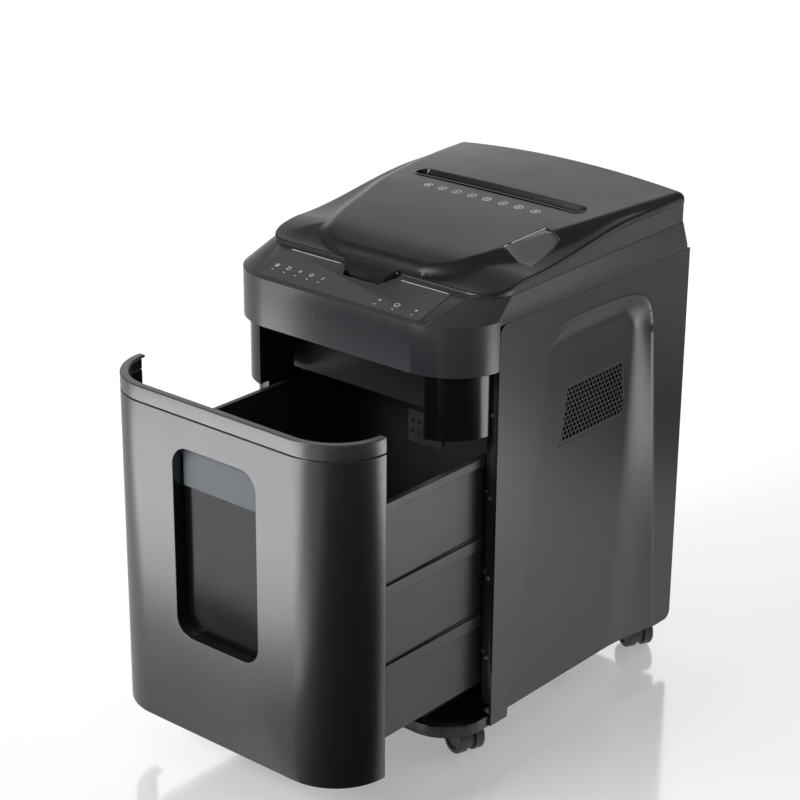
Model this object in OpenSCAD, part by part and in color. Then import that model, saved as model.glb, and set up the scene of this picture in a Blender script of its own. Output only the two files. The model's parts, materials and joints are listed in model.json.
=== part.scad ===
// Auto-feed paper shredder with a pull-out bin, a hinged lid and four casters.
// Units are mm. X is across, Y runs to the back, Z is up from the floor.
// The bin is drawn pulled out; bin_out = 0 draws it closed.

/* [Cabinet] */
// Width over the side panels
body_w = 330; // [275:1:396]
// Depth of the side panels
body_d = 333; // [278:1:400]
// Height of the side panels' top edge above the floor
body_h = 490; // [408:1:588]
// Side panel wall thickness
wall = 3; // [2.4:0.2:3.6]
// Depth of the scoop in each side panel
scoop_depth = 11; // [6:1:11]
// Height of one row of vent holes
vent_pitch = 6.2; // [5.5:0.1:8]

/* [Head] */
// How far the head stands out in front of the side panels
fascia_out = 61; // [55:1:66]
// Height of the upright front band
fascia_h = 52.5; // [45:0.5:58]
// Radius of the head's and the bin front's upright corners
corner_r = 66; // [55:1:72]
// Space kept at each side of the feed slot
slot_side = 50; // [48:1:60]
// Width of the feed slot's mouth, front to back
slot_mouth = 20; // [14:1:22]

/* [Cutters] */
// Radius of the cutter discs
disc_r = 20; // [18.5:0.5:21]
// Thickness of one disc
disc_t = 3.7; // [3:0.1:3.7]
// Distance from one disc to the next
disc_pitch = 8; // [8:0.5:12]
// Radius of the shaft between the discs
core_r = 12; // [10:0.5:13]
// Radius of the rubber feed rolls
feed_r = 15.5; // [15:0.1:15.8]

/* [Bin] */
// How far the bin is pulled out
bin_out = 172; // [0:1:250]
// Length of the bin
bin_len = 348; // [280:1:352]
// Bin wall thickness
bin_t = 2.5; // [2:0.1:3.5]
// Width of the bin's front window
window_w = 112; // [80:1:130]
// Height of the bin's front window
window_h = 208; // [120:1:220]
// Running gap of the runners in their rails
rail_gap = 0.4; // [0.3:0.05:0.8]

/* [Casters] */
// Caster wheel diameter
caster_d = 36; // [30:1:43]
// Thickness of one caster wheel
wheel_t = 11; // [8:0.5:12]
// Distance from the swivel axis to the axle
trail = 8; // [6:0.5:10]

/* [Hidden] */
$fn = 72;
gap = 0.15;
run = 0.05;
bw = body_w / 2;
z_board = caster_d + 4;
z_side = z_board + 13;
z_top = body_h;
slot_w = body_w - 2 * slot_side;

// Head levels
fascia_z = z_top + 4.5 - fascia_h;
deck_z = z_top + 4.5;
seam_z = z_top + 22.5;
deck_len = fascia_out - 3;
deck_tilt = atan((seam_z - deck_z) / deck_len);
seam_tilt = 1.03;
lid_tilt = 5.55;
lid_w = bw - 8;
tray_w = bw - 19;
lid_r = 36;

// Cutting unit, measured from the nip between the two shafts
yn = body_d - 127;
zn = z_top - 65;
shaft_gap = 36;
plate_x = slot_w / 2 + 5;
gear_x = plate_x + 4;
journal_r = 8;
mod = 1.5;
feed_reach = 96;
z_a = [-shaft_gap / 2, 0];
z_b = [shaft_gap / 2, 0];
z_idler = [z_a[0] - 52.5 * cos(45), 52.5 * sin(45)];
z_feed = [z_a[0] - feed_reach * cos(45), feed_reach * sin(45)];
z_red = [z_b[0] + 46.5 * cos(45), 46.5 * sin(45)];
z_motor = [z_red[0] + 43.5 * cos(60), z_red[1] - 43.5 * sin(60)];
motor_r = 28;
motor_len = 96;
stud_r = 5;
disc_n = floor((slot_w + 10) / disc_pitch);
rods = [[-90, -20], [-50, -22], [38, -25]];

// Bin, drawn closed and then pulled out
front_y = -fascia_out - 5;
front_w = bw + 2.5;
front_z0 = z_board + 19;
front_z1 = z_top - 62;
trim_h = 17;
skin = 3.5;
bin_y = -46;
bin_w = bw - 20;
bin_z0 = z_board + 44;
bin_z1 = z_top - 144;
rail_x = 104;
window_z = front_z0 + (front_z1 - front_z0) / 2 + 30;

// Casters
wheel_r = caster_d / 2;
swivels = [[-bw + 43, 3, 71], [bw - 43, 3, 71], [-bw + 43, body_d - 12, 62], [bw - 43, body_d - 12, 62]];
hinge_y = body_d + 4;
hinge_z = z_top + 49;
y_shift = (fascia_out + 5 + bin_out - hinge_y - 3.4) / 2;
vent_z = z_top - 136;

// Gear tooth helpers
function inv_deg(r, rb) = r <= rb ? 0 : let(t = sqrt(pow(r / rb, 2) - 1)) t * 180 / PI - atan(t);
function flank(r, rp, n) =
    90 / n - 0.3 * 90 / (PI * rp) + inv_deg(rp, rp * cos(25)) - inv_deg(r, rp * cos(25));
function spot(r, a) = [r * cos(a), r * sin(a)];

// ---------------------------------------------------------------- shared shapes

module placed() {
    translate([0, y_shift, 0])
        children();
}

// A plan outline with two rounded front corners and a square back
module nose(x1, y0, y1, r) {
    intersection() {
        union() {
            translate([-x1, y0 + r])
                square([2 * x1, body_d]);
            translate([-x1 + r, y0])
                square([2 * (x1 - r), r + 1]);
            for (s = [-1, 1])
                translate([s * (x1 - r), y0 + r])
                    circle(r);
        }
        translate([-x1, y0])
            square([2 * x1, y1 - y0]);
    }
}

// A plan outline rounded at all four corners
module plan(x1, y0, y1, r, rb) {
    translate([-x1, y0 + r])
        square([2 * x1, y1 - y0 - r - rb]);
    translate([-x1 + r, y0])
        square([2 * (x1 - r), r + 1]);
    translate([-x1 + rb, y1 - rb - 1])
        square([2 * (x1 - rb), rb + 1]);
    for (s = [-1, 1]) {
        translate([s * (x1 - r), y0 + r])
            circle(r);
        translate([s * (x1 - rb), y1 - rb])
            circle(rb);
    }
}

// A rectangle with rounded corners, centred
module pad(w, h, r) {
    square([w - 2 * r, h], center = true);
    square([w, h - 2 * r], center = true);
    for (i = [-1, 1], j = [-1, 1])
        translate([i * (w / 2 - r), j * (h / 2 - r)])
            circle(r);
}

// Draws 2D children in the YZ plane and extrudes them along X
module along_x(x0, x1) {
    translate([x0, 0, 0])
        rotate([90, 0, 90])
            linear_extrude(x1 - x0)
                children();
}

// Draws 2D children in the XZ plane and extrudes them along Y
module along_y(y0, y1) {
    translate([0, y1, 0])
        rotate([90, 0, 0])
            linear_extrude(y1 - y0)
                children();
}

// A rod along X at a place in the cutting unit
module rod(p, x0, x1, r) {
    translate([x0, yn + p[0], zn + p[1]])
        rotate([0, 90, 0])
            cylinder(h = x1 - x0, r = r);
}

module gear_2d(n, m) {
    rp = n * m / 2;
    radii = [rp - 1.25 * m, rp - 0.6 * m, rp, rp + 0.5 * m, rp + m];
    polygon([
        for (k = [0 : n - 1], i = [0 : 9])
            let(
                r = radii[i < 5 ? i : 9 - i],
                side = i < 5 ? -1 : 1
            )
            spot(r, k * 360 / n + side * flank(r, rp, n))
    ]);
}

// A spur gear along X at a place in the cutting unit
module gear(p, x0, x1, n, m, turn) {
    translate([0, yn + p[0], zn + p[1]])
        along_x(x0, x1)
            rotate(turn)
                gear_2d(n, m);
}

// Everything below the seam between the collar and the lid
module below_lid(lift) {
    intersection() {
        translate([0, -2, seam_z + 2 + lift])
            rotate([lid_tilt, 0, 0])
                translate([-bw - 50, -100, -200])
                    cube([2 * bw + 100, body_d + 300, 200]);
        translate([-bw - 50, -100, z_top - 150])
            cube([2 * bw + 100, body_d + 300, 198 + lift]);
    }
}

// Everything below the seam between the housing and the collar
module below_collar(lift) {
    translate([0, -2, seam_z + lift])
        rotate([seam_tilt, 0, 0])
            translate([-bw - 50, -100, -200])
                cube([2 * bw + 100, body_d + 300, 200]);
}

// ---------------------------------------------------------------- cabinet

module base_board() {
    color("#1c1d1f")
        difference() {
            union() {
                translate([0, 0, z_board])
                    linear_extrude(12.9)
                        plan(bw - 3.2, -fascia_out, body_d - 4, 50, 8);
                for (s = swivels)
                    translate([s[0], s[1], z_board - 0.5])
                        cylinder(h = 1, r = 9);
            }
            for (s = swivels)
                translate([s[0], s[1], z_board - 1])
                    cylinder(h = 11, r = 4 + run);
            for (s = [-1, 1])
                translate([s * 52 - 30, 60, z_board - 1])
                    cube([60, 200, 9]);
        }
}

module side_outline() {
    difference() {
        translate([0, z_side])
            square([body_d, z_top - z_side]);
        translate([0, z_top - 12])
            difference() {
                translate([-1, 0])
                    square([13, 13]);
                translate([12, 0])
                    circle(12);
            }
        translate([body_d - 10, z_side])
            difference() {
                translate([0, -1])
                    square([11, 11]);
                translate([0, 10])
                    circle(10);
            }
    }
}

// Scoop outline on the panel's face; g moves it outward
function scoop_rim(g) = let(k = body_d / 333, t = z_top - 490, b = z_side) [
    [27 * k - g, b - 20], [40 * k - g, 160 + t * 0.3], [52 * k - g, 252 + t * 0.5],
    [71 * k - g, 385 + t], [78 * k - g, 436 + t], [85 * k - g * 0.8, 451 + t + g * 0.5],
    [96 * k - g * 0.5, 461 + t + g * 0.8], [113 * k, 466.5 + t + g], [222 * k, 465 + t + g],
    [250 * k + g * 0.5, 458 + t + g * 0.8], [264 * k + g * 0.8, 444 + t + g * 0.5],
    [270 * k + g, 428 + t], [287 * k + g, 230 + t * 0.5], [304 * k + g, b - 20]
];

// Scoop outline at its floor
function scoop_floor(g) = let(k = body_d / 333, t = z_top - 490, b = z_side) [
    [37 * k - g, b - 20], [61 * k - g, 252 + t * 0.5], [79 * k - g, 385 + t],
    [88 * k - g * 0.7, 424 + t + g * 0.7], [104 * k, 436 + t + g], [232 * k, 436 + t + g],
    [246 * k + g, 420 + t], [222 * k + g, b - 20]
];

module scoop(g, out) {
    hull() {
        along_x(bw - wall, bw + out)
            polygon(scoop_rim(g));
        along_x(bw - scoop_depth - g, bw - scoop_depth - g + 0.02)
            polygon(scoop_floor(g));
    }
}

module vent_outline(g) {
    k = body_d / 333;
    polygon([
        [132 * k - g, vent_z + 33 + g], [127 * k - g, vent_z + 28], [119 * k - g, vent_z - 31],
        [121 * k - g, vent_z - 34 - g], [232 * k + g, vent_z - 34 - g],
        [240 * k + g, vent_z - 26], [233 * k + g, vent_z + 29], [228 * k + g, vent_z + 33 + g]
    ]);
}

module side_panel() {
    difference() {
        union() {
            difference() {
                union() {
                    along_x(bw - wall, bw)
                        side_outline();
                    intersection() {
                        scoop(2.5, 0);
                        along_x(bw - 40, bw)
                            side_outline();
                    }
                }
                scoop(0, 2);
            }
            translate([bw - 14, 0, z_side])
                cube([14 - wall + 0.5, 3, z_top - z_side - 14]);
            translate([bw - 14, body_d - 8, z_side + 12])
                cube([14 - wall + 0.5, 3, z_top - z_side - 26]);
        }
        along_x(bw - 40, bw)
            vent_outline(0);
        for (z = [z_side + 67, z_side + 159, z_side + 249, z_side + 340])
            translate([bw - 10, -1, z])
                rotate([-90, 0, 0])
                    cylinder(h = 5, r = 1.6);
    }
}

module right_side_panel() {
    color("#232426")
        side_panel();
}

module left_side_panel() {
    color("#232426")
        mirror([1, 0, 0])
            side_panel();
}

module vent_plate() {
    difference() {
        along_x(bw - scoop_depth - 2.2, bw - scoop_depth - 0.2)
            vent_outline(-gap);
        along_x(bw - scoop_depth - 3, bw - scoop_depth + 1)
            intersection() {
                vent_outline(-4.5);
                for (i = [-12 : 12], j = [-7 : 7])
                    translate([180 * body_d / 333 + (i + (j % 2 == 0 ? 0 : 0.5)) * vent_pitch,
                               vent_z + j * vent_pitch * 0.866])
                        circle(vent_pitch * 0.42, $fn = 6);
            }
    }
}

module right_vent_grille() {
    color("#17181a")
        vent_plate();
}

module left_vent_grille() {
    color("#17181a")
        mirror([1, 0, 0])
            vent_plate();
}

module back_panel() {
    color("#202123")
        difference() {
            along_y(body_d - 3.7, body_d)
                translate([-bw + wall + 0.2, z_side + 0.2])
                    square([2 * (bw - wall - 0.2), z_top - z_side - 0.4]);
            for (i = [-9 : 9])
                along_y(body_d - 5, body_d + 1)
                    translate([i * 11, z_top - 70])
                        pad(5, 60, 2.4);
            translate([-bw + 45, body_d - 5, z_side + 42])
                rotate([-90, 0, 0])
                    cylinder(h = 8, r = 7);
            along_y(body_d - 5, body_d + 1)
                translate([-bw + 85, z_side + 42])
                    square([22, 30], center = true);
        }
}

module cord_gland() {
    color("#121314")
        translate([-bw + 45, body_d, z_side + 42])
            rotate([90, 0, 0])
                difference() {
                    union() {
                        translate([0, 0, -2.5])
                            cylinder(h = 2.4, r = 11);
                        translate([0, 0, -2.5])
                            cylinder(h = 12.5, r = 7 - run);
                    }
                    translate([0, 0, -4])
                        cylinder(h = 16, r = 4);
                }
}

module power_switch_frame() {
    color("#141516")
        translate([-bw + 85, 0, z_side + 42])
            difference() {
                union() {
                    along_y(body_d - 14, body_d + 1)
                        square([21.6, 29.6], center = true);
                    along_y(body_d + 0.1, body_d + 2)
                        square([26, 34], center = true);
                }
                along_y(body_d - 9, body_d + 3)
                    square([16, 24], center = true);
            }
}

module power_rocker() {
    color("#0e0e10")
        translate([-bw + 85, body_d, z_side + 42])
            along_x(-7.6, 7.6)
                polygon([[-5, -11], [1.6, -11], [0.6, 0], [3.4, 10.4], [-4, 11], [-7, 0]]);
}

module rail() {
    difference() {
        translate([rail_x - 10, -fascia_out + 12, z_board + 13])
            cube([20, body_d + fascia_out - 20, 14]);
        translate([rail_x - 6, -fascia_out, z_board + 16])
            cube([12, body_d + fascia_out, 12]);
    }
}

module right_rail() {
    color("#3a3b3e")
        rail();
}

module left_rail() {
    color("#3a3b3e")
        mirror([1, 0, 0])
            rail();
}

module neck_post() {
    difference() {
        translate([0, 0, z_top - 118])
            linear_extrude(110)
                intersection() {
                    nose(bw - 8, -fascia_out + 6, -0.5, corner_r - 8);
                    translate([bw - 53, -fascia_out])
                        square([60, fascia_out + 5]);
                }
        translate([0, 0, z_top - 115])
            linear_extrude(120)
                intersection() {
                    nose(bw - 11, -fascia_out + 9, 2, corner_r - 11);
                    translate([bw - 50, -fascia_out])
                        square([60, fascia_out + 5]);
                }
    }
}

module right_neck_post() {
    color("#101113")
        neck_post();
}

module left_neck_post() {
    color("#101113")
        mirror([1, 0, 0])
            neck_post();
}

module switch_bracket() {
    color("#8a8c90")
        difference() {
            along_y(-24, -22.5)
                translate([bw - 97, z_top - 140])
                    square([43.8, 34]);
            for (i = [0 : 2], j = [0 : 1])
                translate([bw - 91 + i * 9, -25, z_top - 128 + j * 11])
                    rotate([-90, 0, 0])
                        cylinder(h = 4, r = 2.3);
        }
}

module interlock_switch() {
    color("#2a2b2e")
        difference() {
            translate([bw - 78, -22.3, z_top - 138])
                cube([20, 10, 14]);
            translate([bw - 80, -17, z_top - 127])
                rotate([0, 90, 0])
                    cylinder(h = 24, r = 1.5 + run);
            translate([bw - 71, -23, z_top - 130])
                cube([6, 12, 10]);
        }
}

module interlock_lever() {
    color("#c9cbd0")
        union() {
            translate([bw - 79, -17, z_top - 127])
                rotate([0, 90, 0])
                    cylinder(h = 22, r = 1.5);
            translate([bw - 70.5, -18, z_top - 127])
                cube([5, 2, 20]);
        }
}

// ---------------------------------------------------------------- head

module head_solid(g) {
    hull() {
        translate([0, 0, fascia_z - g])
            linear_extrude(fascia_h - g)
                plan(bw - g, -fascia_out + g, body_d - g, corner_r - g, 8 - g * 0.8);
        translate([0, -2, seam_z - 0.4 - g * 0.9])
            rotate([seam_tilt, 0, 0])
                linear_extrude(0.2)
                    plan(lid_w - g, g, body_d + 2 - g, lid_r - g, 6 - g * 0.8);
    }
}

// The sloping deck's own frame: local y runs up the slope, local z stands off it
module on_deck() {
    translate([0, -fascia_out, deck_z])
        rotate([deck_tilt, 0, 0])
            children();
}

module latch_pocket(g) {
    hull() {
        for (s = [-1, 1]) {
            translate([s * (23 + g), 44 - g, -9 - g])
                cylinder(h = 30, r = 3, $fn = 24);
            translate([s * (35 + g), 62, -9 - g])
                cylinder(h = 30, r = 3, $fn = 24);
        }
    }
}

module head_housing() {
    color("#1d1e20")
        difference() {
            union() {
                difference() {
                    head_solid(0);
                    head_solid(3);
                    translate([0, 0, fascia_z - 5])
                        linear_extrude(20)
                            plan(bw - 3, -fascia_out + 3, body_d - 3, corner_r - 3, 5);
                }
                intersection() {
                    head_solid(1);
                    on_deck()
                        latch_pocket(2.5);
                }
            }
            on_deck()
                latch_pocket(0);
            translate([0, 0, seam_z - 25])
                linear_extrude(40)
                    plan(tray_w, 12, body_d - 15, 20, 5);
            for (s = [-1, 1])
                translate([s * (bw + 45) - 50, -0.4, fascia_z - 50])
                    cube([100, body_d + 5, z_top + 50.4 - fascia_z]);
            translate([-bw, body_d - 4.2, fascia_z - 50])
                cube([2 * bw, 10, z_top + 50.4 - fascia_z]);
            on_deck()
                translate([0, 0, -1.3])
                    linear_extrude(6)
                        strip_outline(gap);
            for (i = [0 : 4])
                on_deck()
                    translate([-100 + i * 15.5, 26, -8])
                        cylinder(h = 10, r = 1.8, $fn = 24);
        }
}

module strip_outline(g) {
    difference() {
        translate([-111 - g, 6 - g])
            square([217 + 2 * g, 52 + 2 * g]);
        polygon([[-24.5 + g, 39.5 + g], [24.5 - g, 39.5 + g], [40 - g, 70], [-40 + g, 70]]);
    }
}

module control_strip() {
    color("#08090a")
        on_deck()
            translate([0, 0, -1.2])
                linear_extrude(1.2)
                    strip_outline(0);
}

module control_board() {
    color("#1f5a38")
        on_deck()
            translate([-108, 14, -9])
                cube([205, 20, 1.6]);
}

module indicator_lights() {
    color("#e8eef2")
        on_deck()
            for (i = [0 : 4])
                translate([-100 + i * 15.5, 26, -7.3])
                    cylinder(h = 6, r = 1.5, $fn = 24);
}

module head_collar() {
    color("#1d1e20")
        difference() {
            union() {
                intersection() {
                    difference() {
                        translate([0, 0, seam_z - 6])
                            linear_extrude(50)
                                plan(lid_w - 0.4, -1.6, body_d, lid_r, 6);
                        translate([0, 0, seam_z - 8])
                            linear_extrude(60)
                                plan(tray_w, 12, body_d - 15, 20, 5);
                        below_collar(0.15);
                    }
                    below_lid(0);
                }
                for (s = [-1, 1]) {
                    translate([s * 90 - 7, body_d - 1, hinge_z - 6])
                        cube([14, 4, 4.8]);
                    translate([s * 90 - 7, hinge_y, hinge_z])
                        rotate([0, 90, 0])
                            cylinder(h = 14, r = 3.4);
                }
            }
            translate([-150, hinge_y, hinge_z])
                rotate([0, 90, 0])
                    cylinder(h = 300, r = 1.5 + run);
            on_deck()
                latch_pocket(0.5);
        }
}

module head_chassis() {
    floor_z = z_top - 118;
    color("#26272a")
        difference() {
            translate([0, 0, floor_z])
                linear_extrude(56)
                    plan(bw - 17, 10, body_d - 8, 12, 4);
            translate([0, 0, floor_z + 3])
                linear_extrude(60)
                    plan(bw - 19.5, 12.5, body_d - 10.5, 9.5, 2);
            translate([-slot_w / 2 - 1, yn - 32, floor_z - 1])
                cube([slot_w + 2, 64, 10]);
        }
}

module paper_tray() {
    rim = 2.2;
    color("#2b2c2f")
        difference() {
            intersection() {
                translate([0, 0, z_top + 14])
                    linear_extrude(40)
                        plan(tray_w - 0.3, 12.3, body_d - 15.3, 19.7, 4.7);
                below_lid(-1);
            }
            translate([0, 0, z_top + 16.5])
                linear_extrude(60)
                    plan(tray_w - rim, 12 + rim, body_d - 15 - rim, 20 - rim, 2.8);
            translate([0, yn, z_top])
                linear_extrude(40)
                    pad(slot_w + 2, 12, 4);
            for (s = [-1, 1])
                translate([s * 46 - 18, yn + z_feed[0] - 18, z_top])
                    cube([36, 36, 40]);
        }
}

module feed_guides() {
    color("#4a4c50")
        union() {
            for (s = [-1, 1])
                translate([-slot_w / 2 + 1, yn + s * 7 - 1, zn + 23])
                    cube([slot_w - 2, 2, 55.8]);
            for (s = [-1, 1])
                translate([s * (slot_w / 2 + 0.5) - 1.5, yn - 8, zn + 23])
                    cube([3, 16, 55.8]);
        }
}

module plate_blank(y0, y1) {
    translate([yn + y0, zn - 30])
        square([y1 - y0, 107]);
}

module bearing_holes() {
    for (p = [z_a, z_b])
        translate([yn + p[0], zn + p[1]])
            circle(journal_r + run);
    translate([yn + z_feed[0], zn + z_feed[1]])
        circle(stud_r + run);
}

module right_bearing_plate() {
    color("#9fa2a6")
        union() {
            along_x(plate_x, plate_x + 4)
                difference() {
                    plate_blank(-100, 43);
                    bearing_holes();
                }
            rod(z_idler, plate_x + 3.5, gear_x + 20.5, stud_r);
        }
}

module left_bearing_plate() {
    color("#9fa2a6")
        mirror([1, 0, 0])
            union() {
                along_x(plate_x, plate_x + 4)
                    difference() {
                        plate_blank(-100, 104);
                        bearing_holes();
                        translate([yn + z_motor[0], zn + z_motor[1]])
                            circle(9);
                    }
                rod(z_red, plate_x + 3.5, gear_x + 20.5, stud_r);
            }
}

module tie_rods() {
    color("#a9acb0")
        for (p = rods)
            rod(p, -plate_x + gap, plate_x - gap, 4);
}

module comb(s) {
    finger = disc_pitch - disc_t - 1;
    first = s < 0 ? 0.5 : 1;
    count = s < 0 ? disc_n - 1 : disc_n - 2;
    difference() {
        union() {
            translate([-plate_x + gap, yn + (s < 0 ? -44 : 40.5), zn - 14])
                cube([2 * plate_x - 2 * gap, 3.5, 11]);
            for (i = [0 : count - 1])
                translate([(i + first - (disc_n - 1) / 2) * disc_pitch - finger / 2,
                           yn + (s < 0 ? -42 : 18), zn - 13])
                    cube([finger, 24, 9]);
        }
        rod([s * shaft_gap / 2, 0], -plate_x, plate_x, core_r + 0.6);
    }
}

module front_comb() {
    color("#6d6f73")
        comb(-1);
}

module rear_comb() {
    color("#6d6f73")
        comb(1);
}

module disc_2d(turn) {
    difference() {
        circle(disc_r);
        for (k = [0 : 2])
            rotate(turn + k * 120)
                translate([disc_r, 0])
                    polygon([[1, -5], [1, 1.6], [-2.6, 1.2], [-0.6, -3.6]]);
    }
}

module cutter(p, count, left_end, right_end, turn) {
    union() {
        rod(p, -plate_x + 1, plate_x - 1, core_r);
        rod(p, -left_end, right_end, journal_r);
        translate([0, yn + p[0], zn + p[1]])
            for (i = [0 : count - 1])
                let(x = (i - (count - 1) / 2) * disc_pitch)
                along_x(x - disc_t / 2, x + disc_t / 2)
                    disc_2d(turn + i * 11);
    }
}

module front_cutter_shaft() {
    color("#b8babd")
        cutter(z_a, disc_n, plate_x + 6, gear_x + 20.5, 0);
}

module rear_cutter_shaft() {
    color("#b8babd")
        cutter(z_b, disc_n - 1, gear_x + 20.5, gear_x + 12, 60);
}

module shaft_gears() {
    color("#8d9094")
        difference() {
            union() {
                gear(z_a, gear_x + 3.5, gear_x + 10, 18, 2, 0);
                rod(z_a, gear_x + 9.5, gear_x + 13.5, 12);
                gear(z_a, gear_x + 13, gear_x + 19, 24, mod, 135);
            }
            rod(z_a, gear_x, gear_x + 24, journal_r + 0.02);
        }
}

module rear_shaft_gears() {
    color("#8d9094")
        difference() {
            union() {
                gear(z_b, gear_x + 3.5, gear_x + 10, 18, 2, 10);
                gear(z_b, -gear_x - 19, -gear_x - 11, 48, mod, 0);
            }
            rod(z_b, -gear_x - 24, gear_x + 24, journal_r + 0.02);
        }
}

module reduction_gear() {
    color("#d8d4c4")
        difference() {
            union() {
                gear(z_red, -gear_x - 9, -gear_x - 3, 46, mod, -60);
                gear(z_red, -gear_x - 19, -gear_x - 8.5, 14, mod, 225 + 180 / 14);
            }
            rod(z_red, -gear_x - 24, -gear_x, stud_r + run);
        }
}

module feed_idler_gear() {
    color("#d8d4c4")
        difference() {
            gear(z_idler, gear_x + 13, gear_x + 19, 46, mod, 315 + 180 / 46);
            rod(z_idler, gear_x, gear_x + 24, stud_r + run);
        }
}

module feed_roller() {
    color("#a9acb0")
        union() {
            rod(z_feed, -plate_x - 8, gear_x + 20.5, stud_r);
            gear(z_feed, gear_x + 13, gear_x + 19, 12, mod, 315);
            for (s = [-1, 1])
                rod(z_feed, s * 46 - 14, s * 46 + 14, 10);
        }
}

module feed_roll_rubbers() {
    color("#2c2c2e")
        for (s = [-1, 1])
            difference() {
                rod(z_feed, s * 46 - 13, s * 46 + 13, feed_r);
                rod(z_feed, s * 46 - 14, s * 46 + 14, 10.02);
            }
}

module motor_body() {
    left = -plate_x + 0.3;
    color("#5c5f63")
        difference() {
            union() {
                rod(z_motor, left, left + 3, motor_r);
                rod(z_motor, left + 2.5, left + motor_len - 2.5, motor_r - 1.5);
                rod(z_motor, left + motor_len - 3, left + motor_len, motor_r);
            }
            rod(z_motor, left - 1, left + motor_len + 1, 4 + run);
            rod(z_motor, left + 4, left + motor_len - 4, 20);
        }
}

module fan_2d() {
    circle(7);
    for (k = [0 : 6])
        rotate(k * 360 / 7)
            translate([5, -0.8])
                square([19, 1.6]);
}

module motor_rotor() {
    left = -plate_x + 0.3;
    fan_x = left + motor_len + 4;
    color("#b4602a")
        union() {
            rod(z_motor, -gear_x - 9.5, fan_x + 9, 4);
            rod(z_motor, left + 8, left + motor_len - 8, 17.5);
            gear(z_motor, -gear_x - 9, -gear_x - 3, 12, mod, 135);
            translate([0, yn + z_motor[0], zn + z_motor[1]])
                along_x(fan_x, fan_x + 8)
                    fan_2d();
        }
}

// ---------------------------------------------------------------- lid

// Heights of the raised centre and of the shoulders, measured from the side panels' top
function lid_pt(x, y, h) = [x * bw / 165, y * body_d / 333, z_top + h];
shoulder = [
    lid_pt(118, 1, 25), lid_pt(135, 7, 26), lid_pt(149, 24, 29), lid_pt(153, 60, 36),
    lid_pt(153.5, 125, 43.5), lid_pt(154, 174, 48), lid_pt(154, 225, 52), lid_pt(154, 328, 56.5),
    lid_pt(80, 5, 29), lid_pt(97, 40, 37), lid_pt(122, 125, 48), lid_pt(140, 200, 53)
];
platform = [
    lid_pt(76, 6, 31), lid_pt(92, 40, 38.5), lid_pt(108, 78, 43.5), lid_pt(66, 14, 36),
    lid_pt(82, 48, 42.5), lid_pt(105, 102, 50), lid_pt(120, 142, 54.5), lid_pt(138, 202, 58),
    lid_pt(148, 280, 60.5), lid_pt(150, 322, 60.5), lid_pt(0, 12, 37), lid_pt(40, 12, 36.6),
    lid_pt(0, 100, 52), lid_pt(60, 100, 51.6), lid_pt(0, 206, 61.5), lid_pt(80, 206, 60.6),
    lid_pt(0, 280, 66.5), lid_pt(90, 280, 64.5), lid_pt(0, 322, 68.5), lid_pt(95, 322, 65.5)
];

// One corner of the lid's form and its mirror image; d draws it in for the hollow
module knob_at(p, d) {
    for (s = [-1, 1])
        translate([s * max(p[0] - d, 0), p[1] + (p[1] < body_d / 2 ? d : -d), p[2] - d - 4])
            cylinder(h = 4, r = 2, $fn = 12);
}

module lid_solid(d) {
    hull() {
        translate([0, -2, seam_z + 1 - d])
            rotate([lid_tilt, 0, 0])
                linear_extrude(1)
                    plan(lid_w, 0, body_d * 0.72, lid_r, 1);
        translate([0, 0, hinge_z - 3 - d])
            linear_extrude(9)
                plan(lid_w, body_d * 0.6, body_d, 1, 6);
        for (p = shoulder)
            knob_at(p, d);
    }
    hull()
        for (p = platform)
            knob_at(p, d);
}

module lid_shell() {
    color("#1b1c1e")
        difference() {
            union() {
                difference() {
                    lid_solid(0);
                    intersection() {
                        lid_solid(2.8);
                        translate([0, 0, seam_z - 20])
                            linear_extrude(100)
                                plan(lid_w - 3, 1.4, body_d - 3, lid_r - 3, 3);
                    }
                    below_lid(0.4);
                }
                difference() {
                    intersection() {
                        lid_solid(0);
                        on_deck()
                            translate([-38.5, 58, -10])
                                cube([77, 11, 60]);
                    }
                    below_lid(0.4);
                }
                for (s = [-1, 1]) {
                    translate([s * 106 - 8, body_d - 1, hinge_z - 0.2])
                        cube([16, 4.6, 3.2]);
                    translate([s * 106 - 8, hinge_y, hinge_z])
                        rotate([0, 90, 0])
                            cylinder(h = 16, r = 3.4);
                }
            }
            translate([-150, hinge_y, hinge_z])
                rotate([0, 90, 0])
                    cylinder(h = 300, r = 1.5 + run);
            translate([0, yn, z_top + 20])
                linear_extrude(80)
                    pad(slot_w, slot_mouth, slot_mouth / 2 - 0.1);
            translate([0, 0, z_top + 10])
                linear_extrude(70)
                    window_outline(0);
            on_deck()
                latch_space();
        }
}

module latch_space() {
    translate([-35.5, 30, -10])
        cube([71, 35.5, 60]);
    translate([-37, 61, 4])
        rotate([0, 90, 0])
            cylinder(h = 74, r = 1.2 + run, $fn = 24);
}

module window_outline(g) {
    k = body_d / 333;
    polygon([
        [bw - 61 + g, 78 * k + g], [bw - 55 + g, 143 * k - g], [bw - 32 - g, 137 * k - g],
        [bw - 21 - g, 76 * k + g]
    ]);
}

module lid_window() {
    color([0.75, 0.8, 0.82, 0.5])
        hull()
            for (c = [[-61, 78, 32.2], [-55, 143, 40.6], [-32, 137, 38.6], [-21, 76, 30.6]])
                translate([bw + c[0] + (c[0] < -40 ? 0.8 : -0.8),
                           c[1] * body_d / 333 + (c[1] < 100 ? 0.8 : -0.8), z_top + c[2]])
                    cylinder(h = 2, r = 0.5, $fn = 12);
}

module slot_liner() {
    color("#141517")
        difference() {
            translate([0, yn, z_top + 36])
                linear_extrude(19)
                    pad(slot_w - 2 * gap, slot_mouth - 2 * gap, slot_mouth / 2 - 0.3);
            hull() {
                translate([0, yn, z_top + 55])
                    linear_extrude(1)
                        pad(slot_w - 3, slot_mouth - 3, slot_mouth / 2 - 2);
                translate([0, yn, z_top + 35])
                    linear_extrude(1)
                        pad(slot_w - 4, 8, 3.9);
            }
        }
}

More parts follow.
